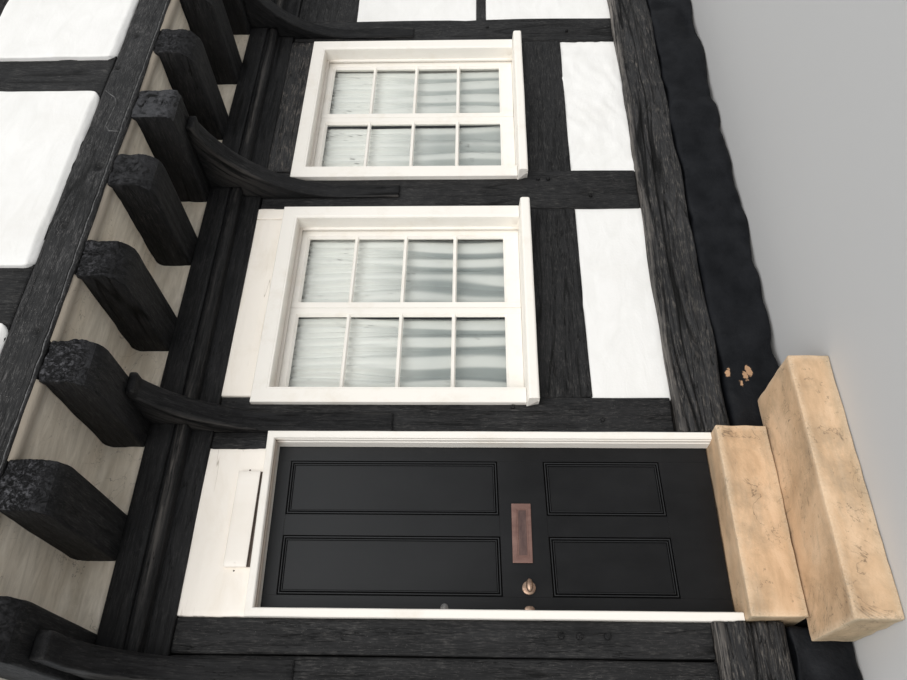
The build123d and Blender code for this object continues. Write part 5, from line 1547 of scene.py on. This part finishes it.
for node, way in (("front_roof_slope", -1), ("rear_roof_slope", 1)):
    low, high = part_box(node)
    ridge_y, eaves_y = (high.y, low.y) if way < 0 else (low.y, high.y)
    down = Vector((0, way, -1)).normalized()
    away = Vector((0, way, 1)).normalized()
    length = abs(eaves_y - ridge_y) * math.sqrt(2)
    under = Matrix(((1, 0, 0), (0, down.y, away.y), (0, down.z, away.z))).to_4x4()
    under.translation = Vector((0, ridge_y, high.z)) - away * ROOF_THICK
    deck = bmesh.new()
    for count in range(RAFTER_COUNT):
        x = low.x + 0.03 + count * (high.x - low.x - 0.06 - RAFTER_W) / (RAFTER_COUNT - 1)
        boarded(deck, (x, x + RAFTER_W), (0.112, length + 0.030), (0.0, 0.045), soft=0.003, steps=(1, 1, 1))
    boarded(deck, (low.x, high.x), (0.068, length + 0.022), (0.045, 0.062), soft=0.002, steps=(1, 1, 1))
    bmesh.ops.transform(deck, matrix=under, verts=deck.verts)
    bmesh.ops.recalc_face_normals(deck, faces=deck.faces)
    piece(f"{node}_rafters", deck, finish=[rafter_finish], smooth=False)
    tiles = bmesh.new()
    fired_layer = tiles.verts.layers.float.new("fired")
    courses = int((length - 0.02) / TILE_GAUGE)
    pattern = bmesh.new()
    bmesh.ops.create_cube(pattern, size=1, matrix=Matrix.Diagonal((TILE_W - 0.003, TILE_L, TILE_T, 1)))
    lengthwise = [e for e in pattern.edges if reach(e, 0) > 0.1]
    bmesh.ops.subdivide_edges(pattern, edges=lengthwise, cuts=1)
    for v in pattern.verts:
        v.co.z -= 0.004 * (abs(v.co.x) / (TILE_W / 2)) ** 2
    shape = bpy.data.meshes.new("tile_shape")
    pattern.to_mesh(shape)
    pattern.free()
    for course in range(courses):
        foot = length + 0.012 - course * TILE_GAUGE
        across = (high.x - low.x) / TILE_W
        start = 0 if course % 2 else -0.5
        for column in range(int(across) + 2):
            x0 = max(low.x, low.x + (start + column) * TILE_W)
            x1 = min(high.x, low.x + (start + column + 1) * TILE_W)
            if x1 - x0 < 0.03:
                continue
            shake = Vector((course * 1.3, column * 2.1, way * 4.0))
            before = len(tiles.verts)
            tiles.from_mesh(shape)
            tiles.verts.ensure_lookup_table()
            turn = Matrix.Rotation(0.012 * noise.noise(shake), 4, "Z")
            tip = Matrix.Rotation(0.068 + 0.010 * noise.noise(shake + Vector((5, 0, 0))), 4, "X")
            lift = 0.088 + 0.002 * noise.noise(shake + Vector((0, 5, 0)))
            centre = Vector(((x0 + x1) / 2, foot - TILE_L / 2 + 0.003 * noise.noise(shake * 1.7), lift))
            place = Matrix.Translation(centre) @ tip @ turn @ Matrix.Diagonal(((x1 - x0) / TILE_W, 1, 1, 1))
            fresh = tiles.verts[before:]
            for v in fresh:
                v[fired_layer] = 0.5 + 0.9 * noise.noise(shake * 7.3)
            bmesh.ops.transform(tiles, matrix=place, verts=fresh)
    everything = tiles.verts[:] + tiles.edges[:] + tiles.faces[:]
    past_ridge = bmesh.ops.bisect_plane(tiles, geom=everything, plane_co=(0, ROOF_THICK + 0.008, 0),
                                        plane_no=(0, -1, -1), clear_outer=True)["geom_cut"]
    bmesh.ops.holes_fill(tiles, edges=[g for g in past_ridge if isinstance(g, bmesh.types.BMEdge)])
    bmesh.ops.transform(tiles, matrix=under, verts=tiles.verts)
    if under.determinant() < 0:
        bmesh.ops.reverse_faces(tiles, faces=tiles.faces)
    piece(f"{node}_tiles", tiles, stands_for=[node], finish=[tile_finish], smooth=False)

# Ridge tiles: half round clay tiles bedded in mortar along the crest, end to end with thin joints, each a
# little out of line.
low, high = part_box("ridge_tiles")
ridge = bmesh.new()
RIDGE_COUNT = 13
tile_run = (high.x - low.x) / RIDGE_COUNT
for count in range(RIDGE_COUNT):
    x0, x1 = low.x + count * tile_run + 0.002, low.x + (count + 1) * tile_run - 0.002
    crest = bmesh.new()
    crest_fired = crest.verts.layers.float.new("fired")
    arc = []
    for turn in range(13):
        angle = math.radians(turn * 15)
        rise = (high.z - low.z - 0.012) * math.sin(angle) ** 0.8
        arc.append((0.118 * math.cos(angle), low.z + 0.010 + rise))
    inner = [(y * 0.86, z - 0.014 if abs(y) < 0.1 else z) for y, z in reversed(arc)]
    drawn_along(crest, arc + inner, x0, x1 - x0)
    sway = 0.003 * noise.noise(Vector((count * 3.1, 0, 0)))
    for v in crest.verts:
        v[crest_fired] = 0.5 + 0.6 * noise.noise(Vector((count * 5.3, 2, 7)))
    bmesh.ops.translate(crest, verts=crest.verts, vec=(0, sway, -abs(sway)))
    add_to(ridge, crest)
piece("clay_ridge", ridge, stands_for=["ridge_tiles"], finish=[tile_finish], smooth=False)

# Ground, light and camera: a plain pale floor, an even sky with a soft sun, and the eye of the photo, which
# is turned on its side as the photo is stored.
EYE_HEIGHT = 1.53
SKY_LEVEL = 0.70
SUN_LEVEL = 2.35
posts_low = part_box("ground_posts")[0]
eye = Vector((posts_low.x - 0.36, posts_low.y - 3.3, EYE_HEIGHT))
yaw, pitch = math.radians(32.30), math.radians(1.676)
forward = Vector((math.sin(yaw) * math.cos(pitch), math.cos(yaw) * math.cos(pitch), math.sin(pitch)))
lens = bpy.data.cameras.new("camera")
lens.sensor_width = 36
lens.lens = 30.0
camera = bpy.data.objects.new("camera", lens)
camera.location = eye
camera.rotation_mode = "QUATERNION"
camera.rotation_quaternion = forward.to_track_quat("-Z", "Y") @ Quaternion((0, 0, 1), math.radians(-90))
bpy.context.collection.objects.link(camera)
bpy.context.scene.camera = camera

world = bpy.data.worlds.new("sky")
world.use_nodes = True
world.node_tree.nodes["Background"].inputs[0].default_value = (0.86, 0.89, 0.92, 1)
world.node_tree.nodes["Background"].inputs[1].default_value = SKY_LEVEL
bpy.context.scene.world = world
sun = bpy.data.objects.new("sun", bpy.data.lights.new("sun", "SUN"))
sun.data.energy = SUN_LEVEL
sun.data.color = (1.0, 0.97, 0.93)
sun.data.angle = math.radians(60)
sun.rotation_euler = (math.radians(62), 0, math.radians(-24))
bpy.context.collection.objects.link(sun)
floor = bpy.data.objects.new("floor", bpy.data.meshes.new("floor"))
pavement = bmesh.new()
bmesh.ops.create_grid(pavement, x_segments=1, y_segments=1, size=20)
pavement.to_mesh(floor.data)
pavement.free()
pale = bpy.data.materials.new("pale_floor")
pale.use_nodes = True
pale.node_tree.nodes["Principled BSDF"].inputs["Base Color"].default_value = (0.55, 0.55, 0.55, 1)
pale.node_tree.nodes["Principled BSDF"].inputs["Roughness"].default_value = 0.9
floor.data.materials.append(pale)
bpy.context.collection.objects.link(floor)
bpy.context.scene.view_settings.view_transform = "Standard"
